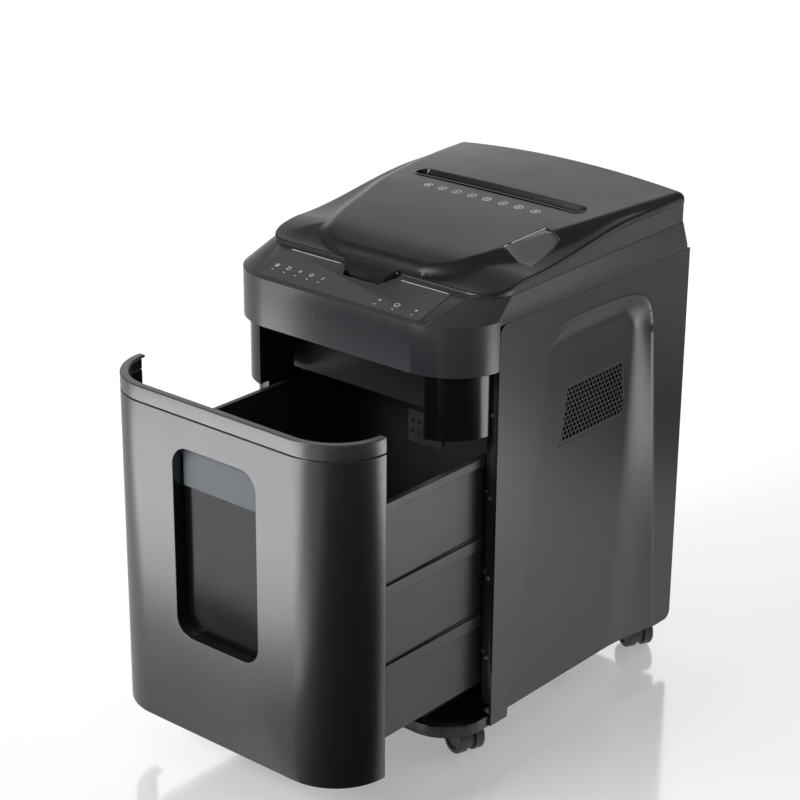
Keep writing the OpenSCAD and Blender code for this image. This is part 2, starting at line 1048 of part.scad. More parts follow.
module lid_liner() {
    y0 = yn + z_feed[0] - 30;
    color("#2b2c2f")
        union() {
            difference() {
                translate([-74, y0, z_top + 31])
                    cube([148, 60, 2.5]);
                for (s = [-1, 1])
                    translate([s * 52, yn + z_feed[0], z_top + 30])
                        cylinder(h = 5, r = 3 + run);
            }
            for (s = [-1, 1])
                translate([s * 68 - 4, y0 + 36, z_top + 33])
                    cube([8, 8, 17]);
        }
}

module pressure_plate() {
    color("#b7bcc0")
        union() {
            translate([-70, yn + z_feed[0] - 26, z_top + 19])
                cube([140, 52, 2]);
            for (s = [-1, 1])
                translate([s * 52, yn + z_feed[0], z_top + 20.5])
                    cylinder(h = 14, r = 3);
        }
}

module lid_latch() {
    color("#1b1c1e")
        on_deck()
            union() {
                hull() {
                    for (s = [-1, 1]) {
                        translate([s * 32.5, 61.8, 1.2])
                            cylinder(h = 5.6, r = 2, $fn = 24);
                        translate([s * 26, 50, 0.8])
                            cylinder(h = 3, r = 2, $fn = 24);
                    }
                }
                translate([-24, 50.5, -6])
                    cube([48, 2.5, 9]);
                translate([-36.8, 61, 4])
                    rotate([0, 90, 0])
                        cylinder(h = 73.6, r = 1.2, $fn = 24);
            }
}

module hinge_pins() {
    color("#a9acb0")
        for (s = [-1, 1])
            translate([s * 98.5 - 15, hinge_y, hinge_z])
                rotate([0, 90, 0])
                    cylinder(h = 30, r = 1.5);
}

// ---------------------------------------------------------------- pull-out bin

module pulled() {
    translate([0, -bin_out, 0])
        children();
}

module bin_front_panel() {
    color("#2a2b2d")
        pulled()
            difference() {
                union() {
                    difference() {
                        translate([0, 0, front_z0])
                            linear_extrude(front_z1 - trim_h - front_z0)
                                nose(front_w, front_y, -1, corner_r - 1);
                        translate([0, 0, front_z0 + 3])
                            linear_extrude(front_z1)
                                nose(front_w - skin, front_y + skin, 1, corner_r - 1 - skin);
                        translate([0, 0, front_z0 - 1])
                            linear_extrude(10)
                                nose(front_w - 14, front_y + 14, 1, corner_r - 15);
                    }
                    along_y(front_y + 1, front_y + 15.5)
                        translate([0, window_z])
                            pad(window_w + 5, window_h + 5, 22.5);
                }
                along_y(front_y - 1, front_y + 30)
                    translate([0, window_z])
                        pad(window_w, window_h, 20);
            }
}

module bin_front_trim() {
    color("#323335")
        pulled()
            difference() {
                translate([0, 0, front_z1 - trim_h + 0.4])
                    linear_extrude(trim_h - 0.4)
                        nose(front_w, front_y, -1, corner_r - 1);
                translate([0, 0, front_z1 - trim_h - 1])
                    linear_extrude(trim_h - 2)
                        nose(front_w - skin, front_y + skin, 1, corner_r - 1 - skin);
                translate([0, 0, front_z1 - 5])
                    linear_extrude(10)
                        nose(front_w - 8.5, front_y + 8.5, 1, corner_r - 9.5);
            }
}

module bin_window_pane() {
    color([0.08, 0.08, 0.09, 0.6])
        pulled()
            along_y(front_y + 12.9, front_y + 15.3)
                translate([0, window_z])
                    pad(window_w - 2 * gap, window_h - 2 * gap, 19.8);
}

module front_brackets() {
    depth = bin_y - front_y - skin;
    color("#242527")
        pulled()
            for (x = [-window_w / 2 - 19, window_w / 2 + 7], z = [bin_z0 + 14, bin_z1 - 50])
                translate([x, front_y + skin + gap, z])
                    cube([12, depth - 2 * gap, 26]);
}

module bin_plan(g) {
    plan(bin_w - g, bin_y + g, bin_y + bin_len - g, 45 - g, 10 - g);
}

module bin_body() {
    tier = (bin_z1 - bin_z0) / 3;
    color("#1a1b1d")
        pulled()
            difference() {
                union() {
                    translate([0, 0, bin_z0])
                        linear_extrude(bin_z1 - bin_z0)
                            bin_plan(0);
                    translate([0, 0, bin_z1 - 10])
                        linear_extrude(10)
                            bin_plan(-4);
                    for (z = [bin_z0 + tier - 18, bin_z0 + 2 * tier - 17])
                        translate([0, 0, z])
                            linear_extrude(14)
                                bin_plan(-2.5);
                }
                translate([0, 0, bin_z0 + bin_t])
                    linear_extrude(bin_z1)
                        bin_plan(bin_t);
                along_y(bin_y - 10, bin_y + 10)
                    translate([0, (bin_z0 + 96 + bin_z1 - 16) / 2])
                        pad(window_w - 12, bin_z1 - bin_z0 - 112, 14);
            }
}

module bin_runners() {
    color("#4a4c50")
        pulled()
            for (s = [-1, 1])
                translate([s * rail_x - 6 + rail_gap, bin_y + 18, z_board + 16 + rail_gap])
                    cube([12 - 2 * rail_gap, bin_len - 36, bin_z0 - z_board - 16 - rail_gap - gap]);
}

// ---------------------------------------------------------------- casters

module caster_at(s) {
    translate([s[0], s[1], 0])
        rotate([0, 0, s[2]])
            children();
}

module caster_fork(s) {
    color("#2e2f32")
        caster_at(s)
            difference() {
                union() {
                    translate([0, 0, z_board - 4])
                        cylinder(h = 13.5, r = 4);
                    translate([0, 0, z_board - 3.2])
                        cylinder(h = 2.4, r = 8);
                    translate([-4.2, -trail, wheel_r])
                        rotate([0, 90, 0])
                            cylinder(h = 8.4, r = wheel_r - 3);
                    translate([-4.2, -trail, wheel_r])
                        cube([8.4, trail + 4, z_board - 1.5 - wheel_r]);
                }
                translate([-10, -trail, wheel_r])
                    rotate([0, 90, 0])
                        cylinder(h = 20, r = 2.5 + run);
            }
}

module caster_wheels(s) {
    in = 4.6;
    out = in + wheel_t;
    color("#222325")
        caster_at(s)
            translate([0, -trail, wheel_r])
                rotate([0, 90, 0])
                    rotate_extrude()
                        polygon([
                            [0, -out + 1.5], [wheel_r - 6, -out + 1.5], [wheel_r - 5, -out],
                            [wheel_r - 1.2, -out], [wheel_r, -out + 1.2], [wheel_r, -in - 0.6],
                            [wheel_r - 0.6, -in], [2.5, -in], [2.5, in], [wheel_r - 0.6, in],
                            [wheel_r, in + 0.6], [wheel_r, out - 1.2], [wheel_r - 1.2, out],
                            [wheel_r - 5, out], [wheel_r - 6, out - 1.5], [0, out - 1.5]
                        ]);
}

module front_left_caster_fork() {
    caster_fork(swivels[0]);
}

module front_left_caster_wheels() {
    caster_wheels(swivels[0]);
}

module front_right_caster_fork() {
    caster_fork(swivels[1]);
}

module front_right_caster_wheels() {
    caster_wheels(swivels[1]);
}

module rear_left_caster_fork() {
    caster_fork(swivels[2]);
}

module rear_left_caster_wheels() {
    caster_wheels(swivels[2]);
}

module rear_right_caster_fork() {
    caster_fork(swivels[3]);
}

module rear_right_caster_wheels() {
    caster_wheels(swivels[3]);
}

// ---------------------------------------------------------------- output

placed() base_board();
placed() left_side_panel();
placed() right_side_panel();
placed() left_vent_grille();
placed() right_vent_grille();
placed() back_panel();
placed() cord_gland();
placed() power_switch_frame();
placed() power_rocker();
placed() left_rail();
placed() right_rail();
placed() left_neck_post();
placed() right_neck_post();
placed() switch_bracket();
placed() interlock_switch();
placed() interlock_lever();
placed() head_housing();
placed() head_collar();
placed() head_chassis();
placed() control_strip();
placed() control_board();
placed() indicator_lights();
placed() paper_tray();
placed() feed_guides();
placed() left_bearing_plate();
placed() right_bearing_plate();
placed() tie_rods();
placed() front_comb();
placed() rear_comb();
placed() front_cutter_shaft();
placed() rear_cutter_shaft();
placed() shaft_gears();
placed() rear_shaft_gears();
placed() reduction_gear();
placed() feed_idler_gear();
placed() feed_roller();
placed() feed_roll_rubbers();
placed() motor_body();
placed() motor_rotor();
placed() lid_shell();
placed() lid_window();
placed() slot_liner();
placed() lid_liner();
placed() lid_latch();
placed() pressure_plate();
placed() hinge_pins();
placed() bin_front_panel();
placed() bin_front_trim();
placed() bin_window_pane();
placed() front_brackets();
placed() bin_body();
placed() bin_runners();
placed() front_left_caster_fork();
placed() front_left_caster_wheels();
placed() front_right_caster_fork();
placed() front_right_caster_wheels();
placed() rear_left_caster_fork();
placed() rear_left_caster_wheels();
placed() rear_right_caster_fork();
placed() rear_right_caster_wheels();
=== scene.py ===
"""Paper shredder with a pull-out bin: its outer shells, trims, printed marks and finishes.

Shapes are drawn in millimetres in the cabinet's own frame: x across, y back from the front
edge of the side panels, z up from the floor. to_frame moves them into the shared frame, in
metres.
"""
import json
import math
from collections import namedtuple

import bmesh
import bpy
from mathutils import Matrix, Vector


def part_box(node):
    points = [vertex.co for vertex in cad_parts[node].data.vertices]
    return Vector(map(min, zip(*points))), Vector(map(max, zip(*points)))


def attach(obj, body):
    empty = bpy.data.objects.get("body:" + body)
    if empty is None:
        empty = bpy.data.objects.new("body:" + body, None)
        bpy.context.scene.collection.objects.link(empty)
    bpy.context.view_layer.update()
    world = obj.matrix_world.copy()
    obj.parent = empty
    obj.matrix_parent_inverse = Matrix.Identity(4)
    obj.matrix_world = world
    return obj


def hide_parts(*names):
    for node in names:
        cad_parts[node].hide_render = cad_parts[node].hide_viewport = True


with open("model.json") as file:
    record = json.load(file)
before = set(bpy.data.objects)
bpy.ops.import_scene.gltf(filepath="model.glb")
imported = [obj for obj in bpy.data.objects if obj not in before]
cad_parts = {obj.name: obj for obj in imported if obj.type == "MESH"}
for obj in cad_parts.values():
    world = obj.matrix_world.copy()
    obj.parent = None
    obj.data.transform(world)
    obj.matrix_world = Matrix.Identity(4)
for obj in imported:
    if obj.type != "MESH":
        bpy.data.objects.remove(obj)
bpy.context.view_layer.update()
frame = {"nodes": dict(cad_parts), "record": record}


# ------------------------------------------------------------------ sizes from the frame

def box_mm(node):
    """A node's lowest and highest corners in millimetres, in the cabinet's frame."""
    low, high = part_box(node)
    low, high = low * 1000, high * 1000
    low.y -= SHIFT
    high.y -= SHIFT
    return low, high


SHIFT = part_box("right_side_panel")[0].y * 1000
PANEL_LOW, PANEL_HIGH = box_mm("right_side_panel")
HEAD_LOW = box_mm("head_housing")[0]
SLOT_LOW, SLOT_HIGH = box_mm("slot_liner")
BIN_LOW, BIN_HIGH = box_mm("bin_body")
BOARD_LOW = box_mm("base_board")[0]

HALF = PANEL_HIGH.x
DEPTH = PANEL_HIGH.y
TOP = PANEL_HIGH.z
# The side panels' skin covers the base board's edge down to here
FOOT = BOARD_LOW.z + 1.5
# Where the deck begins over the band, and where it ends at the seam with the collar
DECK_Z = TOP + 4.5
SEAM_Z = TOP + 22.1
SEAM_SLOPE = 0.018
SLOT_Y = (SLOT_LOW.y + SLOT_HIGH.y) / 2
SLOT_W = SLOT_HIGH.x - SLOT_LOW.x

HEAD_WALL, PANEL_WALL, LID_WALL, LIP_WALL, WINDOW_SHEET = 2.8, 2.2, 2.4, 0.8, 2
INK_FILM = 0.06
MERGE_DISTANCE = 0.00001
# Soft rounding of moulded edges on the board, the head and the panels
BOARD_EDGE, HEAD_EDGE, PANEL_EDGE = 0.8, 1.3, 0.9

# Faces that meet at more than this many degrees keep a sharp edge between them
SHARP = 32

# Cuts across a long straight piece, so that it can bend to a curved surface
SLICES = 24

# An outline seen from above: half its width, its front and back edges and its corner radii
Plan = namedtuple("Plan", "half front back r_front r_back")
BAND = Plan(HALF, HEAD_LOW.y, DEPTH, 66, 8)
SEAM = Plan(HALF - 8, -2, DEPTH, 36, 6)
COLLAR = Plan(HALF - 8.4, -1.6, DEPTH - 0.2, 36, 6)
MOUTH = Plan(HALF - 19, 12, DEPTH - 15, 20, 5)
LID = Plan(HALF - 8, -2, DEPTH, 36, 6)


def smooth_step(t):
    t = min(max(t, 0), 1)
    return t * t * (3 - 2 * t)


def seam_height(y):
    """Top of the head housing, where the collar begins."""
    return SEAM_Z + SEAM_SLOPE * (y - SEAM.front)


def lid_edge(y):
    """The S-curved line on which the lid rests: a short rise in front, then a long one."""
    first = 8 * smooth_step((y - LID.front) / 60)
    second = 17 * smooth_step((y - 60) / 180)
    return TOP + 24 + first + second


# ------------------------------------------------------------------ shape helpers

def drawn_verts(geom):
    return [g for g in geom if isinstance(g, bmesh.types.BMVert)]


def bevel(bm, edges, radius, segments, **options):
    bmesh.ops.bevel(bm, geom=edges, offset=radius, segments=segments, affect="EDGES", profile=0.5,
                    material=-1, **options)


def prism(bm, outline, reach):
    """A solid with a flat outline, drawn out along a vector."""
    face = bm.faces.new([bm.verts.new(place) for place in outline])
    raised = bmesh.ops.extrude_face_region(bm, geom=[face])["geom"]
    bmesh.ops.translate(bm, vec=reach, verts=drawn_verts(raised))


def to_frame(bm):
    """Moves a drawing from millimetres in the cabinet's frame into the shared frame."""
    bmesh.ops.translate(bm, vec=(0, SHIFT, 0), verts=bm.verts[:])
    bmesh.ops.scale(bm, vec=(0.001, 0.001, 0.001), verts=bm.verts[:])


def drawing_of(node):
    """A node's mesh, merged and still in the shared frame."""
    bm = bmesh.new()
    bm.from_mesh(frame["nodes"][node].data)
    bmesh.ops.remove_doubles(bm, verts=bm.verts[:], dist=MERGE_DISTANCE)
    return bm


def from_frame(bm):
    bmesh.ops.scale(bm, vec=(1000, 1000, 1000), verts=bm.verts[:])
    bmesh.ops.translate(bm, vec=(0, -SHIFT, 0), verts=bm.verts[:])


def place_new(name, data):
    """Adds a new object that holds some data to the scene."""
    made = bpy.data.objects.new(name, data)
    bpy.context.scene.collection.objects.link(made)
    return made


def face_outward(bm, along):
    """Turns an open skin's normals out, judged by its farthest face along an axis (0 x, 2 z)."""
    bmesh.ops.recalc_face_normals(bm, faces=bm.faces[:])
    farthest = max(bm.faces, key=lambda f: f.calc_center_median()[along])
    if farthest.normal[along] < 0:
        bmesh.ops.reverse_faces(bm, faces=bm.faces[:])


def slab(bm, plan, low, high, segments=20):
    """A solid with an outline's rounded corners. Returns its top and bottom faces."""
    size = Vector((2 * plan.half, plan.back - plan.front, high - low))
    middle = Vector((0, (plan.back + plan.front) / 2, (high + low) / 2))
    made = bmesh.ops.create_cube(bm, size=1)["verts"]
    bmesh.ops.scale(bm, vec=size, verts=made)
    bmesh.ops.translate(bm, vec=middle, verts=made)
    uprights = [e for e in bm.edges if e.verts[0] in made
                and abs(e.verts[0].co.z - e.verts[1].co.z) > 0.5 * size.z]
    for front, radius in ((True, plan.r_front), (False, plan.r_back)):
        chosen = [e for e in uprights if e.is_valid and (e.verts[0].co.y < middle.y) == front]
        bevel(bm, chosen, radius, segments)
    flat = sorted((f for f in bm.faces if abs(f.normal.z) > 0.9),
                  key=lambda f: f.calc_center_median().z)
    return flat[-1], flat[0]


def carry(verts, source, target):
    """Moves the outline source onto the outline target, corner by corner."""
    middle = (source.front + source.back) / 2
    for v in verts:
        side = 1 if v.co.x > 0 else -1
        if v.co.y < middle:
            a, b = source.r_front, target.r_front
            start = Vector((side * (source.half - a), source.front + a))
            end = Vector((side * (target.half - b), target.front + b))
        else:
            a, b = source.r_back, target.r_back
            start = Vector((side * (source.half - a), source.back - a))
            end = Vector((side * (target.half - b), target.back - b))
        v.co.xy = end + (v.co.xy - start) * (b / a)


def ring(bm, face, source, target, height):
    """Adds a ring of faces round a face and moves the face onto another outline and height."""
    bmesh.ops.inset_region(bm, faces=[face], thickness=0, use_even_offset=False)
    carry(face.verts, source, target)
    for v in face.verts:
        v.co.z = height(v.co.y) if callable(height) else height
    return face


def every(bm):
    return bm.verts[:] + bm.edges[:] + bm.faces[:]


def cut_at(bm, point, direction):
    bmesh.ops.bisect_plane(bm, geom=every(bm), plane_co=point, plane_no=direction)


def bar(bm, low, high, round_by=0.0):
    """A plain bar between two corners, with its edges rounded if asked."""
    low, high = Vector(low), Vector(high)
    made = bmesh.ops.create_cube(bm, size=1)["verts"]
    bmesh.ops.scale(bm, vec=high - low, verts=made)
    bmesh.ops.translate(bm, vec=(high + low) / 2, verts=made)
    if round_by:
        edges = list({e for v in made for e in v.link_edges})
        bevel(bm, edges, round_by, 2)


def lathe(bm, profile, steps):
    """Turns a profile of (radius, along) points about the X axis into a closed solid."""
    verts = [bm.verts.new((along, 0, radius)) for radius, along in profile]
    edges = [bm.edges.new(pair) for pair in zip(verts, verts[1:])]
    bmesh.ops.spin(bm, geom=verts + edges, cent=(0, 0, 0), axis=(1, 0, 0), angle=math.tau,
                   steps=steps, use_merge=True)
    bmesh.ops.remove_doubles(bm, verts=bm.verts[:], dist=0.001)
    bmesh.ops.recalc_face_normals(bm, faces=bm.faces[:])


def finish_piece(name, bm, finish, body, replaces=(), sharp=SHARP, paint=None):
    """Turns a drawing into a piece that rides on a body. paint is shown in place of the finish."""
    to_frame(bm)
    mesh = bpy.data.meshes.new(name)
    bm.to_mesh(mesh)
    bm.free()
    piece = place_new(name, mesh)
    mesh.materials.append(paint or FINISHES[finish])
    mesh.shade_smooth()
    mesh.set_sharp_from_angle(angle=math.radians(sharp))
    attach(piece, body)
    if replaces:
        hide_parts(*replaces)
    return piece


def thicken(piece, wall):
    made = piece.modifiers.new("wall", "SOLIDIFY")
    made.thickness = wall / 1000
    made.offset = -1
    made.use_even_offset = True


def even_shading(piece):
    """Keeps broad faces flat in shading beside their rounded edges."""
    made = piece.modifiers.new("shading", "WEIGHTED_NORMAL")
    made.keep_sharp = True
    made.weight = 100


def round_off(piece, radius, segments=3, angle=30):
    made = piece.modifiers.new("rounding", "BEVEL")
    made.width = radius / 1000
    made.segments = segments
    made.limit_method = "ANGLE"
    made.angle_limit = math.radians(angle)
    made.harden_normals = True
    made.use_clamp_overlap = True


def carve(piece, bm, solver="EXACT"):
    """Cuts a drawn tool out of a piece, with the modifiers it has so far applied."""
    tool_mesh = bpy.data.meshes.new("tool")
    to_frame(bm)
    bmesh.ops.recalc_face_normals(bm, faces=bm.faces[:])
    bm.to_mesh(tool_mesh)
    bm.free()
    tool = place_new("tool", tool_mesh)
    cut = piece.modifiers.new("cut", "BOOLEAN")
    cut.object = tool
    cut.operation = "DIFFERENCE"
    cut.solver = solver
    bpy.context.view_layer.update()
    finished = piece.evaluated_get(bpy.context.evaluated_depsgraph_get())
    made = bpy.data.meshes.new_from_object(finished)
    piece.modifiers.clear()
    piece.data = made
    bpy.data.objects.remove(tool)
    made.shade_smooth()
    made.set_sharp_from_angle(angle=math.radians(SHARP))


# ------------------------------------------------------------------ materials

def linear(code):
    """An sRGB hex colour as linear red, green, blue and alpha."""
    parts = [int(code[i:i + 2], 16) / 255 for i in (1, 3, 5)]
    return (*(c / 12.92 if c <= 0.04045 else ((c + 0.055) / 1.055) ** 2.4 for c in parts), 1)


def add(tree, kind, settings=None, links=None):
    """Adds a shader node, sets its properties and sockets, and links other sockets into it."""
    made = tree.nodes.new("ShaderNode" + kind)
    for key, value in (settings or {}).items():
        if isinstance(key, str) and hasattr(made, key):
            setattr(made, key, value)
        else:
            made.inputs[key].default_value = value
    for key, source in (links or {}).items():
        tree.links.new(source, made.inputs[key])
    return made


def material(name):
    made = bpy.data.materials.new(name)
    made.use_nodes = True
    made.node_tree.nodes.clear()
    return made, made.node_tree


def varied(tree, place, size_mm, low, high):
    """A number that wanders between low and high over patches of a real size."""
    noise = add(tree, "TexNoise", {"Scale": 1000 / size_mm, "Detail": 3.0}, {"Vector": place})
    spread = {"From Min": 0.3, "From Max": 0.7, "To Min": low, "To Max": high}
    return add(tree, "MapRange", spread, {"Value": noise.outputs["Fac"]}).outputs["Result"]


def finish_surface(tree, surface):
    add(tree, "OutputMaterial", None, {"Surface": surface.outputs["BSDF"]})


def mixed(tree, factor, colour, other):
    """Two fixed colours mixed by a factor."""
    return add(tree, "Mix", {"data_type": "RGBA", 6: colour, 7: other}, {0: factor}).outputs[2]


def worn_edge(tree, base, rubbed):
    """Mixes in a rubbed colour where an edge stands out."""
    shape = add(tree, "NewGeometry")
    edge = add(tree, "MapRange", {"From Min": 0.53, "From Max": 0.62, "To Max": 0.7},
               {"Value": shape.outputs["Pointiness"]})
    mix = add(tree, "Mix", {"data_type": "RGBA", 7: rubbed},
              {0: edge.outputs["Result"], 6: base})
    return mix.outputs[2]


def moulded_plastic(name, colour, rubbed, rough, grain_mm, grain_depth, coat=0.0, ior=1.5):
    """Injection-moulded plastic: a fine eroded grain, faint flow patches and rubbed edges."""
    made, tree = material(name)
    place = add(tree, "TexCoord").outputs["Object"]
    base = linear(colour)
    tint = mixed(tree, varied(tree, place, 60, 0.0, 1.0), base, [c * 1.1 for c in base])
    grain = add(tree, "TexNoise", {"Scale": 1000 / grain_mm, "Detail": 2.0, "Roughness": 0.6},
                {"Vector": place})
    bump = add(tree, "Bump", {"Strength": 0.6, "Distance": grain_depth / 1000},
               {"Height": grain.outputs["Fac"]})
    surface = add(tree, "BsdfPrincipled",
                  {"IOR": ior, "Coat Weight": coat, "Coat Roughness": 0.06},
                  {"Base Color": worn_edge(tree, tint, linear(rubbed)),
                   "Roughness": varied(tree, place, 38, rough - 0.012, rough + 0.012),
                   "Normal": bump.outputs["Normal"]})
    finish_surface(tree, surface)
    return made


def rolled_metal(name, colour, rough, line_mm, stretch, spots):
    """Sheet or turned metal: fine lines along one axis, faint blotches from plating or oil."""
    made, tree = material(name)
    place = add(tree, "TexCoord").outputs["Object"]
    drawn = add(tree, "Mapping", {"Scale": stretch}, {"Vector": place}).outputs["Vector"]
    lines = add(tree, "TexNoise", {"Scale": 1000 / line_mm, "Detail": 2.0}, {"Vector": drawn})
    base = linear(colour)
    blotches = varied(tree, place, 14, 0.0, 1.0)
    tint = mixed(tree, blotches, base, [c * (1 - spots) for c in base])
    bump = add(tree, "Bump", {"Strength": 0.35, "Distance": 0.00003},
               {"Height": lines.outputs["Fac"]})
    surface = add(tree, "BsdfPrincipled", {"Metallic": 1.0},
                  {"Base Color": tint,
                   "Roughness": varied(tree, drawn, line_mm * 3, rough - 0.06, rough + 0.06),
                   "Normal": bump.outputs["Normal"]})
    finish_surface(tree, surface)
    return made


def cast_acrylic(name, colour, clear, rough, shine=0.5):
    """Cast acrylic sheet: tinted, glossy, and hazed a little by dust and fine scratches."""
    made, tree = material(name)
    place = add(tree, "TexCoord").outputs["Object"]
    surface = add(tree, "BsdfPrincipled",
                  {"Base Color": linear(colour), "IOR": 1.49, "Transmission Weight": clear,
                   "Specular IOR Level": shine},
                  {"Roughness": varied(tree, place, 22, rough, rough + 0.04)})
    finish_surface(tree, surface)
    return made


def printed_ink(name, colour):
    """Pad-printed ink: flat, slightly broken at the edges."""
    made, tree = material(name)
    place = add(tree, "TexCoord").outputs["Object"]
    tint = mixed(tree, varied(tree, place, 1.2, 0.0, 0.5), linear(colour), linear("#b4b8bc"))
    surface = add(tree, "BsdfPrincipled", {"Roughness": 0.5}, {"Base Color": tint})
    finish_surface(tree, surface)
    return made


ALONG_X, EVEN = (0.05, 1, 1), (1, 1, 1)
FINISHES = {
    "cabinet_abs": moulded_plastic(
        "satin_abs_cabinet", "#161719", "#3a3b3e", 0.33, 0.9, 0.010, ior=1.55),
    "bin_front_abs": moulded_plastic(
        "satin_abs_bin_front", "#1a1b1d", "#2a2b2d", 0.29, 0.9, 0.004, ior=1.62),
    "trim_abs": moulded_plastic(
        "satin_abs_trim", "#2a2b2e", "#4a4b4e", 0.28, 0.9, 0.008, ior=1.62),
    "gloss_abs": moulded_plastic(
        "polished_abs", "#0b0b0c", "#2a2b2d", 0.18, 6.0, 0.004, ior=1.42),
    "bin_pp": moulded_plastic(
        "moulded_polypropylene", "#2a2b2d", "#3e3f42", 0.40, 1.2, 0.014, ior=1.52),
    "inner_abs": moulded_plastic("plain_black_abs", "#121214", "#2a2b2d", 0.52, 1.4, 0.016),
    "smoked_acrylic": cast_acrylic("smoked_cast_acrylic", "#0c0d0e", 0.2, 0.14, 0.03),
    "clear_acrylic": cast_acrylic("clear_cast_acrylic", "#8b8e91", 0.6, 0.10, 0.3),
    "rail_acetal": moulded_plastic(
        "natural_black_acetal", "#2a2b2d", "#3f4043", 0.38, 2.0, 0.006, ior=1.48),
    "zinc_plate": rolled_metal("zinc_plated_sheet", "#a9adb1", 0.34, 0.35, EVEN, spots=0.22),
    "tool_steel": rolled_metal("ground_tool_steel", "#8f9194", 0.30, 0.25, ALONG_X, spots=0.3),
    "gear_steel": rolled_metal("sintered_gear_steel", "#6f7174", 0.42, 0.5, EVEN, spots=0.25),
    "gear_nylon": moulded_plastic(
        "natural_nylon", "#cfc8b2", "#e0dac8", 0.42, 1.5, 0.008, ior=1.53),
    "roll_rubber": moulded_plastic(
        "ground_rubber", "#1f1f20", "#38383a", 0.78, 0.7, 0.05, ior=1.52),
    "motor_can": rolled_metal(
        "passivated_steel_can", "#7b7d80", 0.38, 0.4, ALONG_X, spots=0.15),
    "motor_core": moulded_plastic(
        "varnished_windings", "#8a4a20", "#b06a34", 0.35, 0.8, 0.05, coat=0.4),
    "board_laminate": moulded_plastic(
        "green_circuit_laminate", "#14532c", "#2c7a48", 0.4, 0.5, 0.01),
    "light_guide": cast_acrylic("opal_polycarbonate", "#dfe5e8", 0.4, 0.2),
    "caster_nylon": moulded_plastic(
        "glass_filled_nylon", "#232427", "#3c3d40", 0.44, 0.8, 0.02, ior=1.53),
    "wheel_nylon": moulded_plastic(
        "wheel_nylon", "#2a2b2e", "#47484b", 0.36, 1.2, 0.01, ior=1.53),
}
# Near-white ink, for the printed marks and for the painted highlights along the control strip's
# rear edge
INK_AND_HIGHLIGHT = printed_ink("grey_pad_print_and_highlight", "#f2f4f6")
SATIN = moulded_plastic("polished_abs_head", "#303134", "#4a4b4e", 0.27, 0.9, 0.008, ior=1.5)
STRIP = moulded_plastic("polished_abs_strip", "#303134", "#4a4b4e", 0.2, 6.0, 0.003, coat=0.3)
# An opaque frosted film in a lighter grey, which stands in for the lit inside of the bin seen
# through the window: painted light
FROST_AND_PAINTED_LIGHT = cast_acrylic("frosted_film_painted_light", "#5d6064", 0.0, 0.5, 0.06)


def finish_frame_nodes():
    """Gives every node of the frame the finish that the record's slot names."""
    for row in frame["record"]["subparts"]:
        mesh = frame["nodes"][row["node"]].data
        mesh.materials.clear()
        mesh.materials.append(FINISHES[row["material_slot"]])


# ------------------------------------------------------------------ softened frame shapes

def soften(node, finish, body, radius):
    """A moulded copy of a node: the same shape with its sharp edges rounded."""
    bm = drawing_of(node)
    bmesh.ops.dissolve_limit(bm, angle_limit=math.radians(0.6), verts=bm.verts[:],
                             edges=bm.edges[:])
    corners = [e for e in bm.edges if e.is_manifold and e.calc_face_angle(0) > math.radians(35)]
    bevel(bm, corners, radius / 1000, 2, clamp_overlap=True)
    from_frame(bm)
    even_shading(finish_piece("moulded_" + node, bm, finish, body, [node], 60))


# Each softened node with its finish, its body and the radius of its edges
SOFTENED = [
    ("back_panel", "cabinet_abs", "cabinet", 0.5),
    ("left_neck_post", "gloss_abs", "cabinet", 0.5),
    ("right_neck_post", "gloss_abs", "cabinet", 0.5),
    ("paper_tray", "inner_abs", "cabinet", 0.4),
    ("head_chassis", "inner_abs", "cabinet", 0.5),
    ("front_brackets", "bin_pp", "bin_drawer", 0.8),
    ("bin_body", "bin_pp", "bin_drawer", 0.8),
    ("bin_front_panel", "bin_front_abs", "bin_drawer", 1.2),
    ("bin_front_trim", "trim_abs", "bin_drawer", 1.2),
    ("lid_latch", "cabinet_abs", "latch", 0.5),
]


# ------------------------------------------------------------------ head

def draw_housing():
    """Front band, sloping deck and the rim round the paper tray, moulded in one."""
    bm = bmesh.new()
    top, bottom = slab(bm, BAND, HEAD_LOW.z, DECK_Z, 24)
    bmesh.ops.delete(bm, geom=[bottom], context="FACES_ONLY")
    top = ring(bm, top, BAND, SEAM, seam_height)
    top = ring(bm, top, SEAM, MOUTH, seam_height)
    top = ring(bm, top, MOUTH, MOUTH, TOP - 3)
    bmesh.ops.delete(bm, geom=[top], context="FACES_ONLY")
    shoulder, panel_front = TOP + 0.4, -0.4
    cut_at(bm, (0, panel_front, 0), (0, 1, 0))
    cut_at(bm, (0, 0, shoulder), (0, 0, 1))
    hidden = []
    for f in bm.faces:
        x, y, z = f.calc_center_median()
        beside = y > panel_front and abs(x) > MOUTH.half + 3
        if z < shoulder and (beside or y > DEPTH - 4):
            hidden.append(f)
    bmesh.ops.delete(bm, geom=hidden, context="FACES")
    piece = finish_piece("moulded_head_housing", bm, "cabinet_abs", "cabinet", ["head_housing"],
                         paint=SATIN)
    thicken(piece, HEAD_WALL)
    carve(piece, draw_latch_pocket())
    round_off(piece, HEAD_EDGE)


def deck_point(x, along, lift=0.0):
    """A point on the sloping deck: along runs up the slope, lift stands off it."""
    start = Vector((x, HEAD_LOW.y, DECK_Z))
    run = Vector((0, SEAM.front - HEAD_LOW.y, SEAM_Z - DECK_Z)).normalized()
    off = Vector((0, -run.z, run.y))
    return start + run * along + off * lift


def deck_block(bm, front, rear, low, high):
    """A block on the deck. front and rear are each half its width and its place up the slope."""
    for v in bmesh.ops.create_cube(bm, size=1)["verts"]:
        half, along = rear if v.co.y > 0 else front
        v.co = deck_point(math.copysign(half, v.co.x), along, high if v.co.z > 0 else low)


def draw_latch_pocket():
    """The finger recess in front of the lid, with slanted ends."""
    bm = bmesh.new()
    deck_block(bm, (24, 41), (36.5, 66), -9, 8)
    return bm


